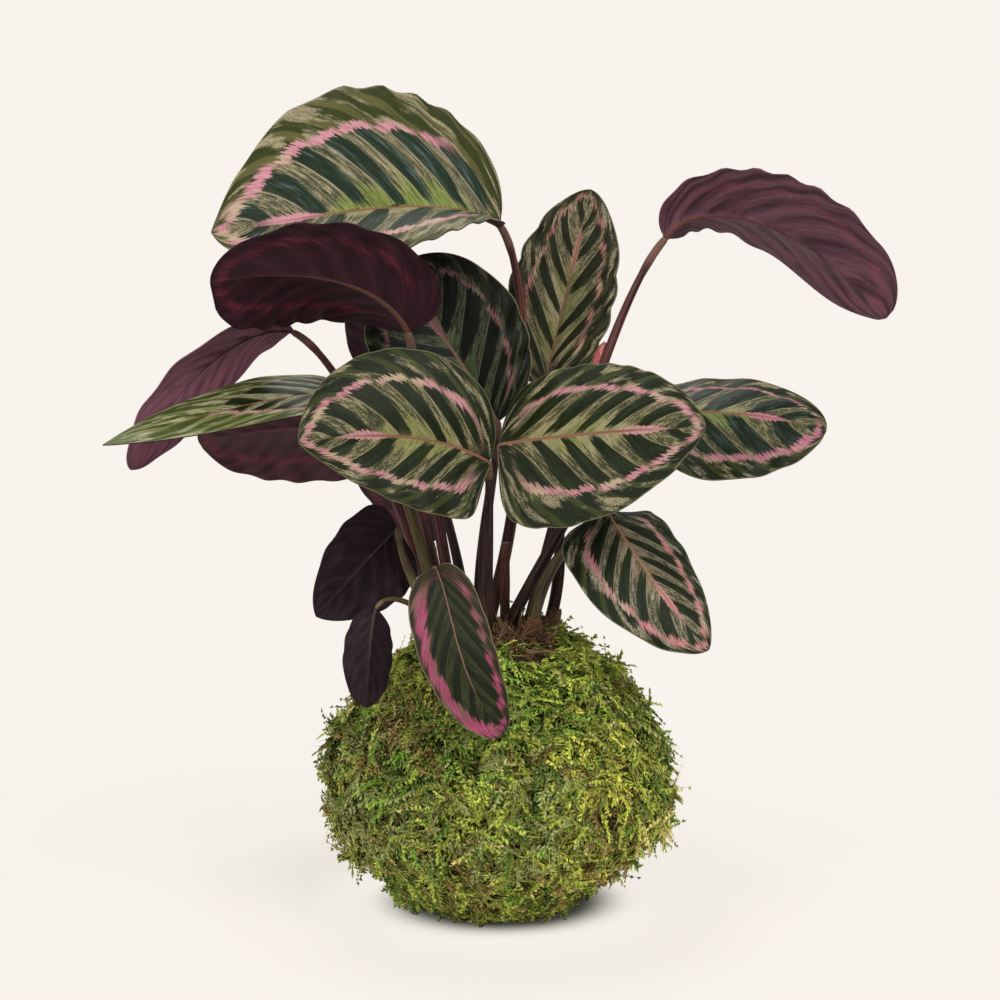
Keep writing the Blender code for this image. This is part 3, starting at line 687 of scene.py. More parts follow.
def topPaint(name):
    # the upper side: dark bands between pale feathered ones, a jagged pink ring, tufts and a feather on the midrib,
    # and on some leaves a painted blue-grey sheen on the dark bands
    look = lookOf(name, plainLook, looks)
    paint = Paint("leafTop" + name.capitalize())
    u, a, count, ring, reach, noises, v, margin, sideSeed = leafPlaces(paint, topGrains)
    coarse, streak, fine, blotch, slow, cloud, jag, jagToo = noises
    dust = paint.noise(paint.place(), 1500.0, 2.0, 0.7)
    band, within = count.whole(), count.fraction()
    lot = paint.chance(band * 3.1 + sideSeed)
    lotToo = paint.chance(band * 5.7 + sideSeed + 40.0)
    # the ring steps outwards from vein to vein
    step = ring + (within - 0.5) * look["steps"] + (lot - 0.5) * look["steps"] * 0.7
    leftShare, rightShare = look["ringSides"]
    half = look["ringWide"] / 2
    if leftShare != rightShare:
        half = (v.step(-0.01, 0.01) * (rightShare - leftShare) + leftShare) * half
    inner = (step + half + (jag - 0.5) * look["teeth"] * 2.4).step(-0.35, 0.35)
    outer = (step - half + (jagToo - 0.5) * look["teeth"] * 2.0).step(0.35, -0.35)
    faded = (u + coarse * 0.1).step(*look["ringFade"])
    breaks = abs(within - 0.05).step(0.0, 0.09) * 0.8 + 0.2
    worn = (coarse + 0.58 - 0.42 * lotToo).step(0.42, 0.66)
    ringMask = inner * outer * faded * worn * (breaks + streak * 0.5).least(1.0)
    soft = 0.2 + look["ringWide"] * 0.25
    inside = (step + half * 0.5).step(soft, -soft)
    # dark wedges: narrow at the midrib, wide at the ring
    wedge = a.step(0.02, 0.42) * (0.08 + lot * 0.11) + look["band"]
    darkness = (abs(within - 0.5 - (streak - 0.5) * 0.10) + (streak - 0.5) * 0.10).step(wedge + 0.07, wedge - 0.03)
    darkness = darkness.most(u.step(0.16, 0.03) * 0.8)
    light = (streak * 0.45 + blotch * 0.50 + dust * 0.50 - 0.22).step(0.34, 0.66)
    feathered = paint.mix(light, look["dark"], look["pale"])
    creamy = (streak * 0.55 + blotch * 0.75 + dust * 0.45 - 0.22).step(0.60, 0.92)
    feathered = paint.mix((creamy * look["creamShare"] * 1.8).least(1.0), feathered, look["cream"])
    solid = paint.mix((coarse * 0.6 + blotch * 0.4).step(0.38, 0.66), look["deep"], look["dark"])
    # painted sheen: blue-grey highlights streaked over the dark bands, away from the margin
    if look["glow"]:
        bloom = (streak * 0.6 + coarse * 0.6).step(0.62, 0.78) * a.step(0.9, 0.5) * look["glow"]
        solid = paint.mix(bloom * dust.step(0.2, 0.6), solid, look["bloom"])
    core = paint.mix(darkness, feathered, solid)
    # a pale hairline where a side vein runs
    veinLine = abs(within - 0.5 - wedge - 0.03).step(0.022, 0.008) * a.step(0.04, 0.15) * (0.35 + streak * 0.5)
    core = paint.mix(veinLine, core, look["cream"])
    # tufts beside the midrib
    uneven = 1.15 - darkness * 0.95 + (lotToo - 0.5) * 0.5
    tuftReach = u.step(0.08, 0.24) * u.step(0.72, 0.52) * look["spread"] * uneven
    tuft = (tuftReach * (streak * 2.4 - 0.15) - a + (blotch - 0.5) * 0.10).step(-0.03, 0.09)
    tuftTone = paint.mix((fine * 0.5 + blotch * 0.5).step(0.35, 0.65), dim(look["tuft"], 0.50), look["tuft"])
    paler = paint.mix(0.35, look["cream"], look["pale"])
    tuftTone = paint.mix((creamy * 0.5 + lot.step(0.50, 0.62) * 0.6).least(0.85), tuftTone, paler)
    core = paint.mix(tuft * (blotch + dust - 0.4).step(0.15, 0.6).most(0.35), core, tuftTone)
    # outside the ring
    wild = (streak * 0.25 + coarse * 0.75 + blotch * 0.15 + (darkness - 0.5) * -0.34).step(0.44, 0.74)
    outside = paint.mix(wild, look["rimDeep"], look["rim"])
    specks = (streak * 0.45 + fine * 0.35 + dust * 0.35 + (cloud - 0.5) * 2.2 + 0.02).step(0.62, 0.98)
    specks = (specks * dust.step(0.25, 0.6) * look["creamShare"] * 1.7).least(0.8)
    colour = paint.mix(inside, paint.mix(specks, outside, look["cream"]), core)
    # the feather on the midrib, past the tufts
    plume = u.bell(look["plume"], 0.19) * look["feather"] * 0.068
    plumeMask = (plume * (0.3 + streak * 1.7) - a).step(-0.004, 0.02) * u.step(0.90, 0.80)
    colour = paint.mix(plumeMask, colour, paint.mix(fine.step(0.3, 0.7), look["pink"], look["rose"]))
    ringTone = paint.mix((fine * 0.4 + blotch * 0.6).step(0.40, 0.64), look["pink"], look["rose"])
    ringTone = paint.mix((slow + blotch * 0.5 - 0.25).step(0.48, 0.70) * 0.75, ringTone, look["cream"])
    ringTone = paint.mix((blotch + dust - 0.5).step(0.40, 0.22) * 0.6, ringTone, look["dark"])
    colour = paint.mix(ringMask, colour, ringTone)
    ribLine = reach.step(0.95, 0.5) * u.step(0.90, 0.55)
    colour = paint.mix(ribLine, colour, paint.mix(fine.step(0.3, 0.7), look["rib"], dim(look["rib"], 1.18)))
    colour = paint.mix(margin.step(0.55, 0.25) * 0.75, colour, look["edge"])
    rough = look["roughness"] + (streak - 0.5) * 0.16 + (fine - 0.5) * 0.10
    height = streak * 0.5 + fine * 0.35 + coarse * 0.4 - veinLine * 0.3
    return paint.finish(colour, rough, height, 0.00035, look["shine"])


def underPaint(name):
    # the underside: wine purple, darker between the side veins, partly the upper side's bands showing faintly and
    # partly painted shade in the hollows there, and a tan midrib
    look = lookOf(name, underPlain, underLooks)
    paint = Paint("leafUnder" + name.capitalize())
    u, a, count, ring, reach, (coarse, streak, fine, cloud) = leafPlaces(paint, underGrains)[:6]
    within = count.fraction()
    dust = paint.noise(paint.place(), 1400.0, 2.0, 0.7)
    # painted shade, partly: darker mid-way between side veins, where the blade's hollows are seen from below, with
    # soft mottles
    shadow = abs(within - 0.5).step(0.48, 0.05) * 0.55 + (cloud - 0.5) * 2.4 + 0.10
    colour = paint.mix(shadow.least(1.0).most(0.0), look["base"], look["deep"])
    ringMask = (ring + (within - 0.5) * 1.6 + (streak - 0.5) * 5.0).bell(0.0, 3.6) * u.step(0.1, 0.3)
    colour = paint.mix(ringMask * coarse.step(0.35, 0.6) * 0.75, colour, look["warm"])
    colour = paint.mix((cloud * 0.7 + streak * 0.2 + dust * 0.2).step(0.58, 0.80) * 0.4, colour, look["warm"])
    veinLine = abs(abs(within - 0.5) - 0.5).step(0.05, 0.015) * a.step(0.03, 0.12)
    colour = paint.mix(veinLine * 0.12, colour, look["rib"])
    taper = 1.45 - u * 1.15
    ribLine = reach.step(taper, taper * 0.6) * (u.step(0.95, 0.25) * 0.8 + 0.2)
    colour = paint.mix(ribLine, colour, paint.mix(fine.step(0.3, 0.7), dim(look["rib"], 0.75), look["rib"]))
    rough = look["roughness"] + (fine - 0.5) * 0.16
    height = streak * 0.4 + fine * 0.4 + veinLine * 0.5
    return paint.finish(colour, rough, height, 0.0003, look["shine"])


skins = {}
for index, (name, leaf) in enumerate(leaves.items()):
    look = leaf["look"]
    skins[look] = skins.get(look) or [topPaint(look), underPaint(look)]
    makeLeaf(name, leaf, skins[look], index + 1)
print("leaves ready:", len(leaves))


stalkForm = dict(
    points=44, sides=16,
    footRadius=3.2, slimRadius=1.25, endRadius=1.15, kneeRadius=1.65,
    kneeFrom=0.86,  # where the smooth joint below the blade starts
    sheathUpTo=0.55,  # how far up the open sheath runs
    channel=0.20, channelWidth=0.34,  # its open edge: depth as a share of the radius, and width in radians
    top=127.0, sunk=1.0,  # height of the rhizome's face, and how far a foot goes into it
    tipDown=0.8, tipOn=0.9,  # how far the end lies under the blade's base, and runs on past it
    tones=dict(black=0.0, red=0.5, olive=1.0),
)


def stalkLine(leaf, t):
    # a cubic Bezier from the rhizome, along the rise, by the neck, to the underside of the blade's base
    form = stalkForm
    foot = np.array([*leaf["foot"], form["top"] - form["sunk"]])
    line, face = leafFrame({**leaf, "twist": 0}, np.array([0.0]))[::2]
    end = line[0] - face[0] * form["tipDown"]
    end = end + unit(end - np.array(leaf["neck"])) * form["tipOn"]
    return bezier((foot, foot + np.array(leaf["rise"], dtype=float), leaf["neck"], end), t)[0]


def makeStalk(name, leaf, paint, seed):
    # slimmer upwards as 1 - t to the power 0.75, thicker again at the knee below the blade
    form = stalkForm
    t = np.linspace(0, 1, form["points"])
    draw = np.random.default_rng(seed + 50)
    width = sum(leaf["halves"])
    share = min(1.0, max(0.5, width / 60))
    foot, slim = form["footRadius"] * min(1.0, max(0.6, width / 50)), form["slimRadius"] * share
    radius = slim + (foot - slim) * (1 - t) ** 0.75
    swell = form["kneeRadius"] - form["slimRadius"]
    knee = smooth(t, form["kneeFrom"] - 0.02, form["kneeFrom"] + 0.02) * swell * share
    radius = radius + knee * smooth(t, 1.02, 0.965) + 0.05 * np.sin(t * 19 + seed)
    radius[-1] = form["endRadius"] * 0.8 * share
    # the sheath's open edge is a channel along one side; it closes higher up
    a = np.linspace(0, fullTurn, form["sides"], endpoint=False)[None, :]
    openEdge = smooth(t, form["sheathUpTo"], form["sheathUpTo"] - 0.25)[:, None]
    around = a - draw.uniform(-1.2, 1.2) - 0.5 * t[:, None]
    ridge = 1 - form["channel"] * openEdge * np.exp(-(np.angle(np.exp(1j * around)) / form["channelWidth"]) ** 2)
    ridge = ridge + 0.05 * openEdge * np.cos(around * 2) + 0.02 * np.cos(a * 5 + seed)
    points, faces, where = tube(stalkLine(leaf, t), radius, form["sides"], ridge)
    own = np.tile([seed * 2.3, form["tones"][leaf["stalk"]], 0.0], (len(points), 1))
    addPiece("stem_" + name, points, faces, [paint], ["stalk_" + name],
             attributes={"stemPlace": where, "stemSeed": own})


stalkLook = tinted(dict(black=(32, 19, 15), brown=(74, 46, 38), dark=(52, 29, 27), red=(112, 66, 62),
                        moss=(64, 54, 32), olive=(124, 108, 70), pale=(160, 126, 104)))


def stemPaint():
    # long streaks of dark red brown and olive, paler at the joint below the blade, with the dull gloss of a stalk
    look = stalkLook
    paint = Paint("stalkSkin")
    t, across, around = paint.attribute("stemPlace").parts()
    seed, tone = paint.attribute("stemSeed").parts()[:2]
    streak = paint.noise(paint.point(t * 5.0, across * 2.2 + seed, around * 2.2), 1.0, 3.0, 0.6)
    thread = paint.noise(paint.point(t * 12.0, across * 9.0 + seed, around * 9.0), 1.0, 2.0, 0.6)
    streaky = streak.step(0.36, 0.66)
    black, red, olive = (paint.mix(streaky, look[dark], look[light])
                         for dark, light in (("black", "brown"), ("dark", "red"), ("moss", "olive")))
    colour = paint.mix(tone.step(0.1, 0.4), black, red)
    colour = paint.mix(tone.step(0.6, 0.9), colour, olive)
    colour = paint.mix((streak + thread * 0.4 - 0.2).step(0.55, 0.80) * 0.35, colour, look["olive"])
    colour = paint.mix(thread.step(0.60, 0.78) * 0.5, colour, look["pale"])
    colour = paint.mix(t.step(0.86, 0.90) * 0.35, colour, look["pale"])
    return paint.finish(colour, 0.42 + (thread - 0.5) * 0.25, thread * 0.6 + streak * 0.4, 0.0003, 0.28)


stemSkin = stemPaint()
for index, (name, leaf) in enumerate(leaves.items()):
    makeStalk(name, leaf, stemSkin, index + 1)
print("stalks ready")


sheathForm = dict(
    rows=14, columns=18, radius=3.7, thickness=0.35,
    # degrees: the way each one's middle faces, and how far it reaches round its stalk
    each=dict(
        arching_right=dict(height=18, middle=-95, sweep=240, flare=0.28),
        right_side=dict(height=13, middle=-20, sweep=190, flare=0.32),
        low_right=dict(height=15, middle=-120, sweep=220, flare=0.32),
        upright_centre=dict(height=15, middle=-80, sweep=240, flare=0.22),
    ),
)


def makeSheath(name, own, paint, seed):
    # a strip bent round a stalk's foot: its radius grows with height, and its top is torn to a slant
    form = sheathForm
    line = stalkLine(leaves[name], np.linspace(0, 1, 12))
    lean = line[1] - line[0]
    lean = lean / lean[2]
    w, h = np.meshgrid(np.linspace(-1, 1, form["columns"] + 1), np.linspace(0, 1, form["rows"] + 1), indexing="xy")
    torn = 0.78 + 0.16 * np.sin(w * 3.1 + seed) + 0.08 * np.sin(w * 11 + seed * 2) - 0.35 * np.abs(w) ** 3
    tall = h * own["height"] * torn
    angle = np.radians(own["middle"] + w * own["sweep"] / 2)
    out = form["radius"] * (1 + own["flare"] * h ** 1.6 + 0.07 * np.sin(w * 5 + h * 4 + seed))
    out = out + 0.5 * np.sin(w * 9 + seed) * h
    middle = np.array(line[0]) + tall[..., None] * lean
    middle[..., 2] = stalkForm["top"] + 0.2 + tall
    points = middle + np.stack([np.cos(angle) * out, np.sin(angle) * out, np.zeros_like(out)], axis=-1)
    half = form["thickness"] / 2 * (1.1 - 0.6 * h)[..., None]
    faces = sheetFaces(form["rows"], form["columns"])
    addPiece("sheath_" + name, sheet(points, half, half), faces, [paint], ["dry_sheath_" + name],
             attributes={"stemPlace": sheetValues(h, w, np.full_like(h, seed))})


def papery(name, dark, light):
    # dry brown paper with long fibres, darker towards its foot
    paint = Paint(name)
    t, across, seed = paint.attribute("stemPlace").parts()
    fibre = paint.noise(paint.point(t * 3.0, across * 14.0, seed), 1.0, 3.0, 0.65)
    patch = paint.noise(paint.place(), 260.0, 3.0, 0.6)
    colour = paint.mix((fibre * 0.7 + patch * 0.4).step(0.38, 0.72), tint(*dark), tint(*light))
    return paint.finish(paint.shade(colour, 0.55 + t * 0.5), 0.75 + (fibre - 0.5) * 0.2, fibre, 0.0005)


sheathSkin = papery("drySheath", (82, 50, 32), (158, 116, 78))
for index, (name, own) in enumerate(sheathForm["each"].items()):
    makeSheath(name, own, sheathSkin, 11 + index)

smallThings = dict(
    bud=dict(line=((42.6, 24.6, 238), (43.2, 26.2, 246), (45.6, 27.8, 256), (49.5, 28.0, 264)), widest=4.2,
             points=40, sides=24),
    stub=dict(line=((3, 2, 126.5), (2, 2, 142), (2, 1, 160), (3, 0, 173)), widest=2.6, points=30, sides=16),
)


def makeBud(paint):
    # a pointed spindle: radius is a power of a sine of the length; the square of a winding angle is its rolled edge
    own = smallThings["bud"]
    t = np.linspace(0, 1, own["points"])
    radius = own["widest"] * np.sin(np.pi * np.clip(t * 0.93 + 0.04, 0, 1)) ** 0.75
    a = np.linspace(0, fullTurn, own["sides"], endpoint=False)[None, :]
    turn = np.mod(a + t[:, None] * 5.0, fullTurn) / fullTurn
    ridge = 0.88 + 0.22 * turn ** 2 + 0.03 * np.cos(a * 6 + t[:, None] * 9)
    points, faces, where = tube(bezier(own["line"], t)[0], radius, own["sides"], ridge)
    where[:-2, 2] = turn.reshape(-1)
    addPiece("bud", points, faces, [paint], ["rolled_bud"], attributes={"stemPlace": where})


def budPaint():
    # rose red scales with pale fibres and a tan edge where the roll laps over
    paint = Paint("budSkin")
    t, across, turn = paint.attribute("stemPlace").parts()
    fibre = paint.noise(paint.point(t * 4.0, across * 7.0, turn * 7.0), 1.0, 3.0, 0.6)
    colour = paint.mix(fibre.step(0.36, 0.66), tint(160, 62, 64), tint(220, 134, 122))
    colour = paint.mix(turn.step(0.84, 0.99) * 0.8, colour, tint(176, 130, 96))
    colour = paint.mix(t.step(0.30, 0.0) * 0.8, colour, tint(112, 84, 58))
    return paint.finish(colour, 0.45 + (fibre - 0.5) * 0.2, fibre, 0.0004)


def makeStub(paint):
    # a cut stalk: a slim taper with a frayed end
    own = smallThings["stub"]
    t = np.linspace(0, 1, own["points"])
    radius = own["widest"] * (1 - 0.18 * t) * (1 + 0.05 * np.sin(t * 14))
    a = np.linspace(0, fullTurn, own["sides"], endpoint=False)[None, :]
    ridge = 1 + 0.06 * np.cos(a * 3) + 0.10 * smooth(t, 0.85, 1.0)[:, None] * np.sin(a * 5)
    points, faces, where = tube(bezier(own["line"], t)[0], radius, own["sides"], ridge)
    addPiece("stub", points, faces, [paint], ["cut_stub"], attributes={"stemPlace": where})


litterForm = dict(count=420, rings=3, middle=(3, -17), reach=(13, 10), height=(123, 131), length=(4, 13),
                  half=(0.4, 1.9), lift=(-0.2, 0.4), curl=0.7, bend=(0.0, 1.6))


def makeLitter(paint):
    # brown shards and rootlets between the stalks' feet: curled tapers that stand out from the crown's middle
    form = litterForm
    draw = np.random.default_rng(91)
    count = form["count"]
    flat = draw.normal(size=(count, 2)) * form["reach"] * 0.6 + form["middle"]
    start = np.column_stack([flat, draw.uniform(*form["height"], count)])
    way = unit(np.column_stack([flat * 0.03 + draw.normal(size=(count, 2)) * 0.7, draw.uniform(0.1, 1.3, count)]))
    normal = unit(np.cross(way, unit(draw.normal(size=(count, 3)))))
    column = (count, 1)
    thin = draw.uniform(size=column) ** 2
    half = form["half"][0] + (form["half"][1] - form["half"][0]) * thin
    length, lift = draw.uniform(*form["length"], column), draw.uniform(*form["lift"], column)
    curl, bend = draw.normal(size=column) * form["curl"], draw.uniform(*form["bend"], column)
    points, faces, along = strandMesh(form["rings"], half, start, normal, way, length, lift, curl, bend)
    where = np.stack(np.broadcast_arrays(along, thin, draw.uniform(0, 50, column)), axis=-1)
    addPiece("crown_litter", points.reshape(-1, 3), faces, [paint], attributes={"stemPlace": where})


makeLitter(papery("crownLitter", (64, 42, 28), (176, 136, 96)))
makeBud(budPaint())
makeStub(papery("cutStub", (84, 44, 36), (150, 100, 78)))
print("sheaths, bud and stub ready")


ballForm = dict(
    radius=79.0, middle=55.0, above=77.0, below=73.0,
    crown=126.5,  # the dish's height
    mounds=((36, 6, 15, 7.0), (-30, 22, 18, 4.0), (8, 34, 20, 5.0)),  # where, reach and height
    under=2.6,  # how far the matted cushion lies below the strands' outer face
    lumps=3.6, lumpKinds=((0.6, 26.0, 3), (0.45, 11.0, 4)),  # how tall; then each kind's share, size and seed
    rings=96, sides=180, topAngle=88.0, ground=0.4,
    foot=0.29, lean=3.5, footSpan=(44.0, 8.0),  # how much narrower the foot is, how far it sits to the left, and where
    # degrees round from the front, height, reach, how far it stands out
    swells=((88, 46, 28, 1.6), (-88, 72, 24, 2.6), (-150, 60, 30, 2.5), (150, 50, 26, 2.0), (-80, 20, 14, 1.6)),
)


def ballPoint(turn, around, inset):
    # two half ellipses that meet at the widest ring, turned about the upright axis
    form = ballForm
    tall = np.where(turn > 0, form["above"], form["below"]) - inset
    height = form["middle"] + tall * np.sin(turn)
    drawn = smooth(height, *form["footSpan"])
    wide = (form["radius"] - inset) * np.cos(turn) * (1 - form["foot"] * drawn)
    point = np.stack([wide * np.cos(around) - form["lean"] * drawn, wide * np.sin(around), height], axis=-1)
    normal = ballNormal(turn, around)
    for side, level, reach, size in form["swells"]:
        gap = np.linalg.norm(point - onBall(side, level), axis=-1)
        point = point + normal * (size * np.exp(-(gap / reach) ** 2))[..., None]
    return point


def onBall(side, level):
    # the place on the ball so many degrees round from the front, at this height
    form = ballForm
    drop = (level - form["middle"]) / (form["above"] if level > form["middle"] else form["below"])
    out = form["radius"] * math.sqrt(max(0.0, 1 - drop * drop))
    a = math.radians(side - 90)
    return np.array([out * math.cos(a), out * math.sin(a), level])


def ballNormal(turn, around):
    # outward from the ellipse: its slope's normal
    tall = np.where(turn > 0, ballForm["above"], ballForm["below"])
    flat = np.cos(turn) / ballForm["radius"]
    return unit(np.stack([flat * np.cos(around), flat * np.sin(around), np.sin(turn) / tall], axis=-1))


def turnAt(height):
    # the angle above the widest ring at which the ball reaches this height
    rise = height - ballForm["middle"]
    return math.asin(rise / (ballForm["above"] if rise > 0 else ballForm["below"]))


def matted(turn, around):
    # the cushion's surface: the ball drawn in, swelling in lumps, with a shallow dish between the stalks
    form = ballForm
    body = ballPoint(turn, around, form["under"])
    lumps = [share * softNoise(body.reshape(-1, 3), size, seed) for share, size, seed in form["lumpKinds"]]
    swell = form["lumps"] * sum(lumps).reshape(turn.shape)
    swell = np.minimum(swell, form["under"] + 1.2) * smooth(body[..., 2], 1.0, 14.0)
    body = body + ballNormal(turn, around) * swell[..., None]
    crown = form["crown"] + swell * 0.6
    for x, y, reach, size in form["mounds"]:
        crown = crown + size * np.exp(-((body[..., 0] - x) ** 2 + (body[..., 1] - y) ** 2) / reach ** 2)
    body[..., 2] = np.where(turn > 0, np.minimum(body[..., 2], crown), body[..., 2])
    return body


def mattedNormal(turn, around, base):
    # outward from the matted surface: the cross product of small steps round and up it
    step = 0.01
    return unit(np.cross(matted(turn, around + step) - base, matted(turn + step, around) - base))


def makeShell(name, inset, paint, replaced, rings, sides):
    # rings from the crown's middle, over the side, to the flat foot's middle, drawn in along the ball's normal
    turn = np.linspace(math.radians(ballForm["topAngle"]), turnAt(0.0), rings)
    around = np.linspace(0, fullTurn, sides, endpoint=False)
    turn, around = np.meshgrid(turn, around, indexing="ij")
    body = matted(turn, around) - ballNormal(turn, around) * inset
    body[..., 2] = np.maximum(body[..., 2], ballForm["ground"] + inset)
    points = np.concatenate([body.reshape(-1, 3), [body[0].mean(axis=0)], [body[-1].mean(axis=0)]])
    addPiece(name, points, ringFaces(rings, sides, flip=True), [paint], [replaced])


def cushionPaint():
    # dark matted moss: olive and brown, with near black painted as shade in the hollows
    paint = Paint("mossBed")
    where = paint.place()
    patch = paint.noise(where, 60.0, 3.0, 0.6)
    tuft = paint.noise(where, 420.0, 4.0, 0.7, 1.2)
    speck = paint.noise(where, 1300.0, 3.0, 0.7)
    colour = paint.mix(patch.step(0.40, 0.62), tint(76, 70, 36), tint(80, 86, 40))
    # painted shade: near black where the bump is lowest, in the hollows
    colour = paint.mix(tuft.step(0.52, 0.36), colour, tint(40, 36, 18))
    colour = paint.mix(speck.step(0.52, 0.72) * 0.6, colour, tint(128, 130, 66))
    return paint.finish(colour, 0.95, tuft * 0.7 + speck * 0.4, 0.003, 0.05)


# kinds: pieces of each, strands in a piece, rings; length and half width in millimetres; lift away from the ball,
# scatter of direction, curl to the side, rise of the root, sag; leaflets on a strand; brightness; heights covered
plainKind = dict(rings=2, curl=0.6, sag=0.45, leaflets=0, band=(0, 130))
# patches: where a tone gathers, as degrees round from the front, height, reach in millimetres, tone, strength
strandForm = dict(
    kinds=(
        dict(name="moss_strands", pieces=4, each=7000, length=(4.0, 10.0), half=(0.32, 0.64), lift=(0.06, 0.38),
             scatter=0.9, curl=0.7, rise=(-1.0, 1.0), bright=(0.30, 1.10)),
        dict(name="moss_sprigs", pieces=3, each=1850, rings=1, length=(7.0, 13.0), half=(0.66, 1.10),
             lift=(0.03, 0.28), scatter=0.8, curl=0.5, rise=(-0.4, 1.8), leaflets=10, leafLength=(2.3, 3.9),
             bright=(0.45, 1.65)),
        dict(name="moss_tufts", pieces=2, each=1800, length=(8.0, 14.0), half=(0.75, 1.35), lift=(0.04, 0.28),
             scatter=0.7, rise=(0.2, 1.8), leaflets=10, leafLength=(2.7, 4.6), bright=(0.6, 1.6), sag=0.6),
        dict(name="moss_fringe", pieces=1, each=900, length=(3.5, 8.5), half=(0.30, 0.60), lift=(0.1, 0.9),
             scatter=0.6, rise=(-0.5, 1.0), bright=(0.9, 1.8), band=(3, 11), sag=1.6),
    ),
    light=1.98,
    tones=tinted(dict(olive=(126, 130, 56), lime=(152, 164, 68), leaf=(102, 132, 50), deep=(72, 90, 36),
                      straw=(178, 170, 106), brown=(122, 102, 58), sage=(124, 132, 78), gold=(170, 170, 72))),
    mixture=dict(olive=0.34, lime=0.17, leaf=0.16, deep=0.13, straw=0.06, brown=0.04, sage=0.10, gold=0.0),
    patchPull=4.5,
    patches=(
        (34, 84, 17, "gold", 0.8), (44, 70, 12, "gold", 0.5), (-2, 58, 12, "lime", 0.9), (24, 34, 14, "lime", 0.6),
        (-10, 44, 8, "lime", 0.8), (0, 14, 22, "lime", 0.5), (-30, 20, 14, "olive", 0.8), (-74, 62, 16, "sage", 0.8),
        (40, 60, 14, "brown", 0.6), (46, 24, 18, "brown", 0.9), (20, 98, 12, "deep", 0.4), (-30, 86, 16, "leaf", 0.9),
        (-52, 58, 24, "sage", 0.6), (6, 60, 22, "sage", 0.6), (-6, 66, 12, "lime", 0.8), (-14, 28, 20, "brown", 0.35),
        (60, 64, 16, "lime", 0.5), (18, 30, 18, "gold", 0.4), (-66, 40, 20, "straw", 0.3),
        (-38, 104, 18, "brown", 0.7), (10, 114, 22, "leaf", 0.9), (14, 116, 24, "lime", 0.7),
        (80, 116, 22, "lime", 0.8), (-60, 114, 14, "lime", 0.6), (-20, 12, 14, "lime", 0.5),
        (-14, 55, 10, "leaf", 0.6), (70, 40, 18, "straw", 0.3),
    ),
    # tip: the pale tone at the strands' ends, partly painted highlight
    tip=tint(196, 190, 130), ground=0.15,
)


def strandTones(points, draw, bright):
    # each strand draws one tone, its chances raised near a patch and by soft noise, and its own brightness, raised on
    # the ball's right side and top as painted light
    form = strandForm
    names = list(form["tones"])
    chance = np.stack([form["mixture"][tone] * np.exp(2.2 * softNoise(points, 15.0, 60 + order))
                       for order, tone in enumerate(names)], axis=1)
    for turn, height, reach, tone, strength in form["patches"]:
        gap = np.linalg.norm(points - onBall(turn, height), axis=1)
        chance[:, names.index(tone)] += form["patchPull"] * strength * np.exp(-(gap / reach) ** 2)
    chance = np.cumsum(chance / chance.sum(axis=1, keepdims=True), axis=1)
    pick = (draw.uniform(size=len(points))[:, None] > chance).sum(axis=1).clip(0, len(names) - 1)
    colour = np.array([form["tones"][tone][:3] for tone in names])[pick]
    # painted light: strands on the right side and near the top drawn brighter, as if more light fell there
    lift = 1 + 0.20 * smooth(points[:, 0], -30.0, 75.0) + 0.12 * smooth(points[:, 2], 95.0, 125.0)
    clump = (0.5 + 0.8 * softNoise(points, 8.0, 77)).clip(0.0, 1.0)
    amount = bright[0] + (bright[1] - bright[0]) * (0.55 * draw.uniform(size=len(points)) + 0.45 * clump)
    return colour * form["light"] * (amount * lift)[:, None]


def sprigLeaves(kind, draw, strands):
    # leaflets stand by turns on both sides of the stem's parabola, shorter towards its tip
    many = kind["leaflets"]
    strands = [np.repeat(value, many, axis=0) for value in strands]
    normal, flow = strands[1:3]
    order = np.tile(np.arange(many), len(flow) // many)[:, None]
    s = (order + 0.8) / many
    sign = np.where(order % 2, 1.0, -1.0)
    root, side = parabola(s, *strands)
    way = unit(flow * 0.7 + side * (sign * (1.05 - 0.75 * s)) + normal * draw.uniform(-0.1, 0.5, s.shape))
    size = draw.uniform(*kind["leafLength"], s.shape) * (1.15 - 0.55 * s)
    half = draw.uniform(*kind["half"], s.shape) * 1.1
    curl, flat = draw.normal(size=s.shape) * 0.3, np.zeros(s.shape)
    points, faces, along = strandMesh(1, half, root, normal, way, size, flat, curl, flat + 0.25)
    return points, faces, along * 0.65 + 0.35


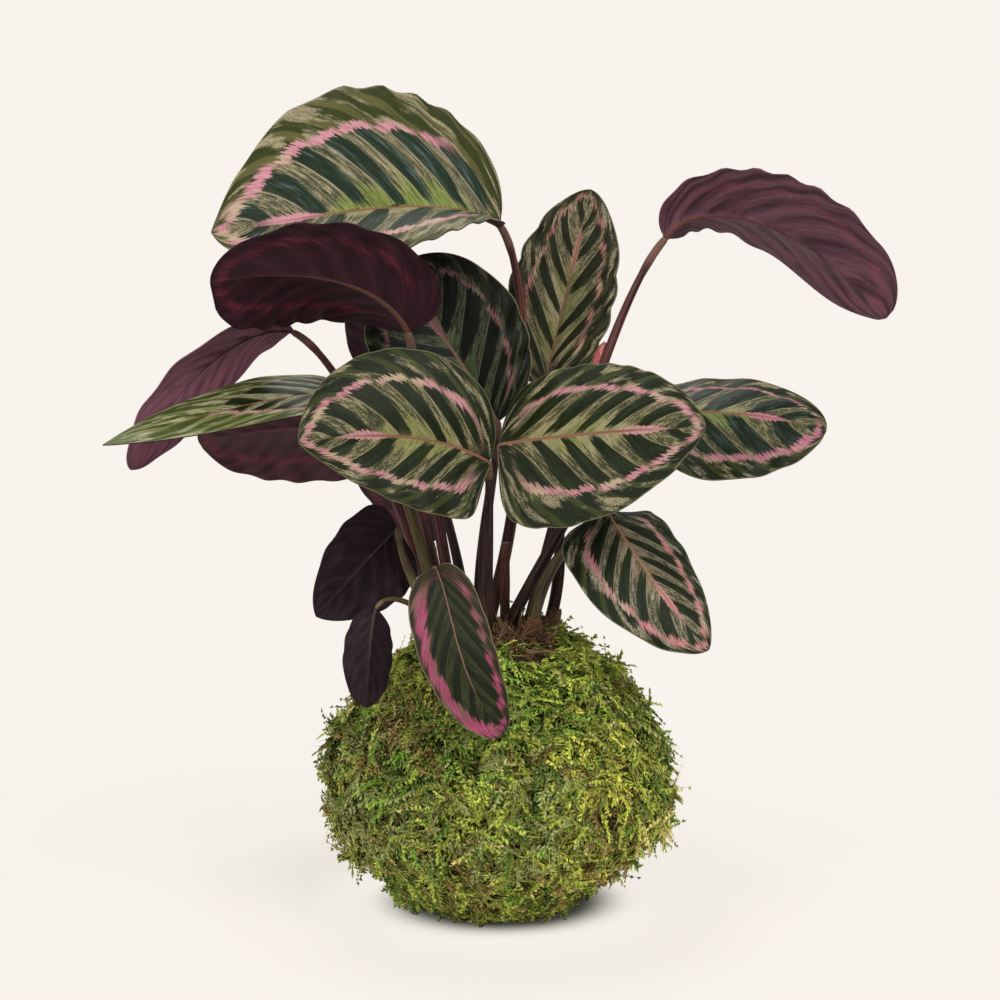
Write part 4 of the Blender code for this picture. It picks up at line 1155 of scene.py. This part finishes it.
def makeStrands(kind, index, seed, paint):
    # heights drawn evenly cover the ball evenly; strands lie along a soft drift that turns from place to place
    draw = np.random.default_rng(seed)
    count, leaflets = kind["each"], kind["leaflets"]
    column = (count, 1)
    low, high = [math.sin(turnAt(level)) for level in kind["band"]]
    turn = np.arcsin(draw.uniform(low, high, count))
    around = draw.uniform(0, fullTurn, count)
    base = matted(turn, around)
    normal = mattedNormal(turn, around, base)
    start = base + normal * draw.uniform(*kind["rise"], column)
    drift = np.stack([softNoise(base, 20.0, 20 + k) for k in range(3)], axis=1) * 1.1
    drift = drift + draw.normal(size=(count, 3)) * kind["scatter"] + np.array([0.0, 0.0, -kind["sag"]])
    flow = unit(drift - (drift * normal).sum(axis=1, keepdims=True) * normal)
    length, lift = draw.uniform(*kind["length"], column), draw.uniform(*kind["lift"], column)
    curl, bend = draw.normal(size=column) * kind["curl"], lift * draw.uniform(0.3, 0.9, column)
    strands = (start, normal, flow, length, lift, curl, bend)
    parts = [strandMesh(kind["rings"], draw.uniform(*kind["half"], column), *strands)]
    tones = [strandTones(base, draw, kind["bright"])]
    if leaflets:
        parts.append(sprigLeaves(kind, draw, strands))
        tones.append(np.repeat(tones[0], leaflets, axis=0) * draw.uniform(0.8, 1.2, (count * leaflets, 1)))
    points = np.concatenate([part[0].reshape(-1, 3) for part in parts])
    points[:, 2] = np.maximum(points[:, 2], strandForm["ground"])
    shift = count * parts[0][0].shape[1]
    faces = [block + order * shift for order, part in enumerate(parts) for block in part[1]]
    along = np.concatenate([part[2].reshape(-1) for part in parts])
    colours = np.concatenate([np.repeat(tone, part[0].shape[1], axis=0) for tone, part in zip(tones, parts)])
    addPiece("%s_%d" % (kind["name"], index + 1), points, faces, [paint],
             attributes={"strandTone": colours, "strandAlong": np.repeat(along[:, None], 3, axis=1)})


def strandPaint():
    # the strand's own tone, darker at its root, paler at its tip partly as painted highlight, with fine flecks
    paint = Paint("mossStrand")
    tone = paint.attribute("strandTone")
    along = paint.attribute("strandAlong").parts()[0]
    fleck = paint.noise(paint.place(), 1600.0, 2.0, 0.6)
    amount = (0.20 + along * 1.05) * (0.75 + fleck * 0.5)
    # pale tips: twice the tip tone, partly the moss's own paler ends and partly painted highlight
    tone = paint.mix(along.step(0.45, 1.0) * 0.3, tone, dim(strandForm["tip"], 2.0))
    return paint.finish(paint.shade(tone, amount), 0.72 + (fleck - 0.5) * 0.3, fleck, 0.0002, 0.08)


makeShell("moss_cushion", 0.0, cushionPaint(), "moss_cover", ballForm["rings"], ballForm["sides"])
strandSkin = strandPaint()
for order, kind in enumerate(strandForm["kinds"]):
    for index in range(kind["pieces"]):
        makeStrands({**plainKind, **kind}, index, 700 + 50 * order + index, strandSkin)
print("moss ready")


# what the moss hides: the CAD's root ball and rhizome keep their shapes
soilForm = dict(inset=8.0, rings=48, sides=90)
hidden = dict(
    root_ball=dict(name="fineRoots", dark=(78, 56, 36), light=(152, 120, 84), size=420.0),
    rhizome=dict(name="rhizomeBark", dark=(48, 30, 22), light=(116, 82, 54), size=260.0),
)


def earth(name, dark, light, size):
    # crumbs of two tones
    paint = Paint(name)
    crumb = paint.noise(paint.place(), size, 5.0, 0.7, 0.6)
    colour = paint.mix(crumb.step(0.38, 0.64), tint(*dark), tint(*light))
    return paint.finish(colour, 0.92 + (crumb - 0.5) * 0.1, crumb, 0.002)


soilSkin = earth("darkSoil", (32, 24, 18), (78, 58, 42), 300.0)
makeShell("soil", soilForm["inset"], soilSkin, "soil_ball", soilForm["rings"], soilForm["sides"])
for name, own in hidden.items():
    material = earth(**own)
    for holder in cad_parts[name].material_slots:
        holder.material = material

print("pieces ready")
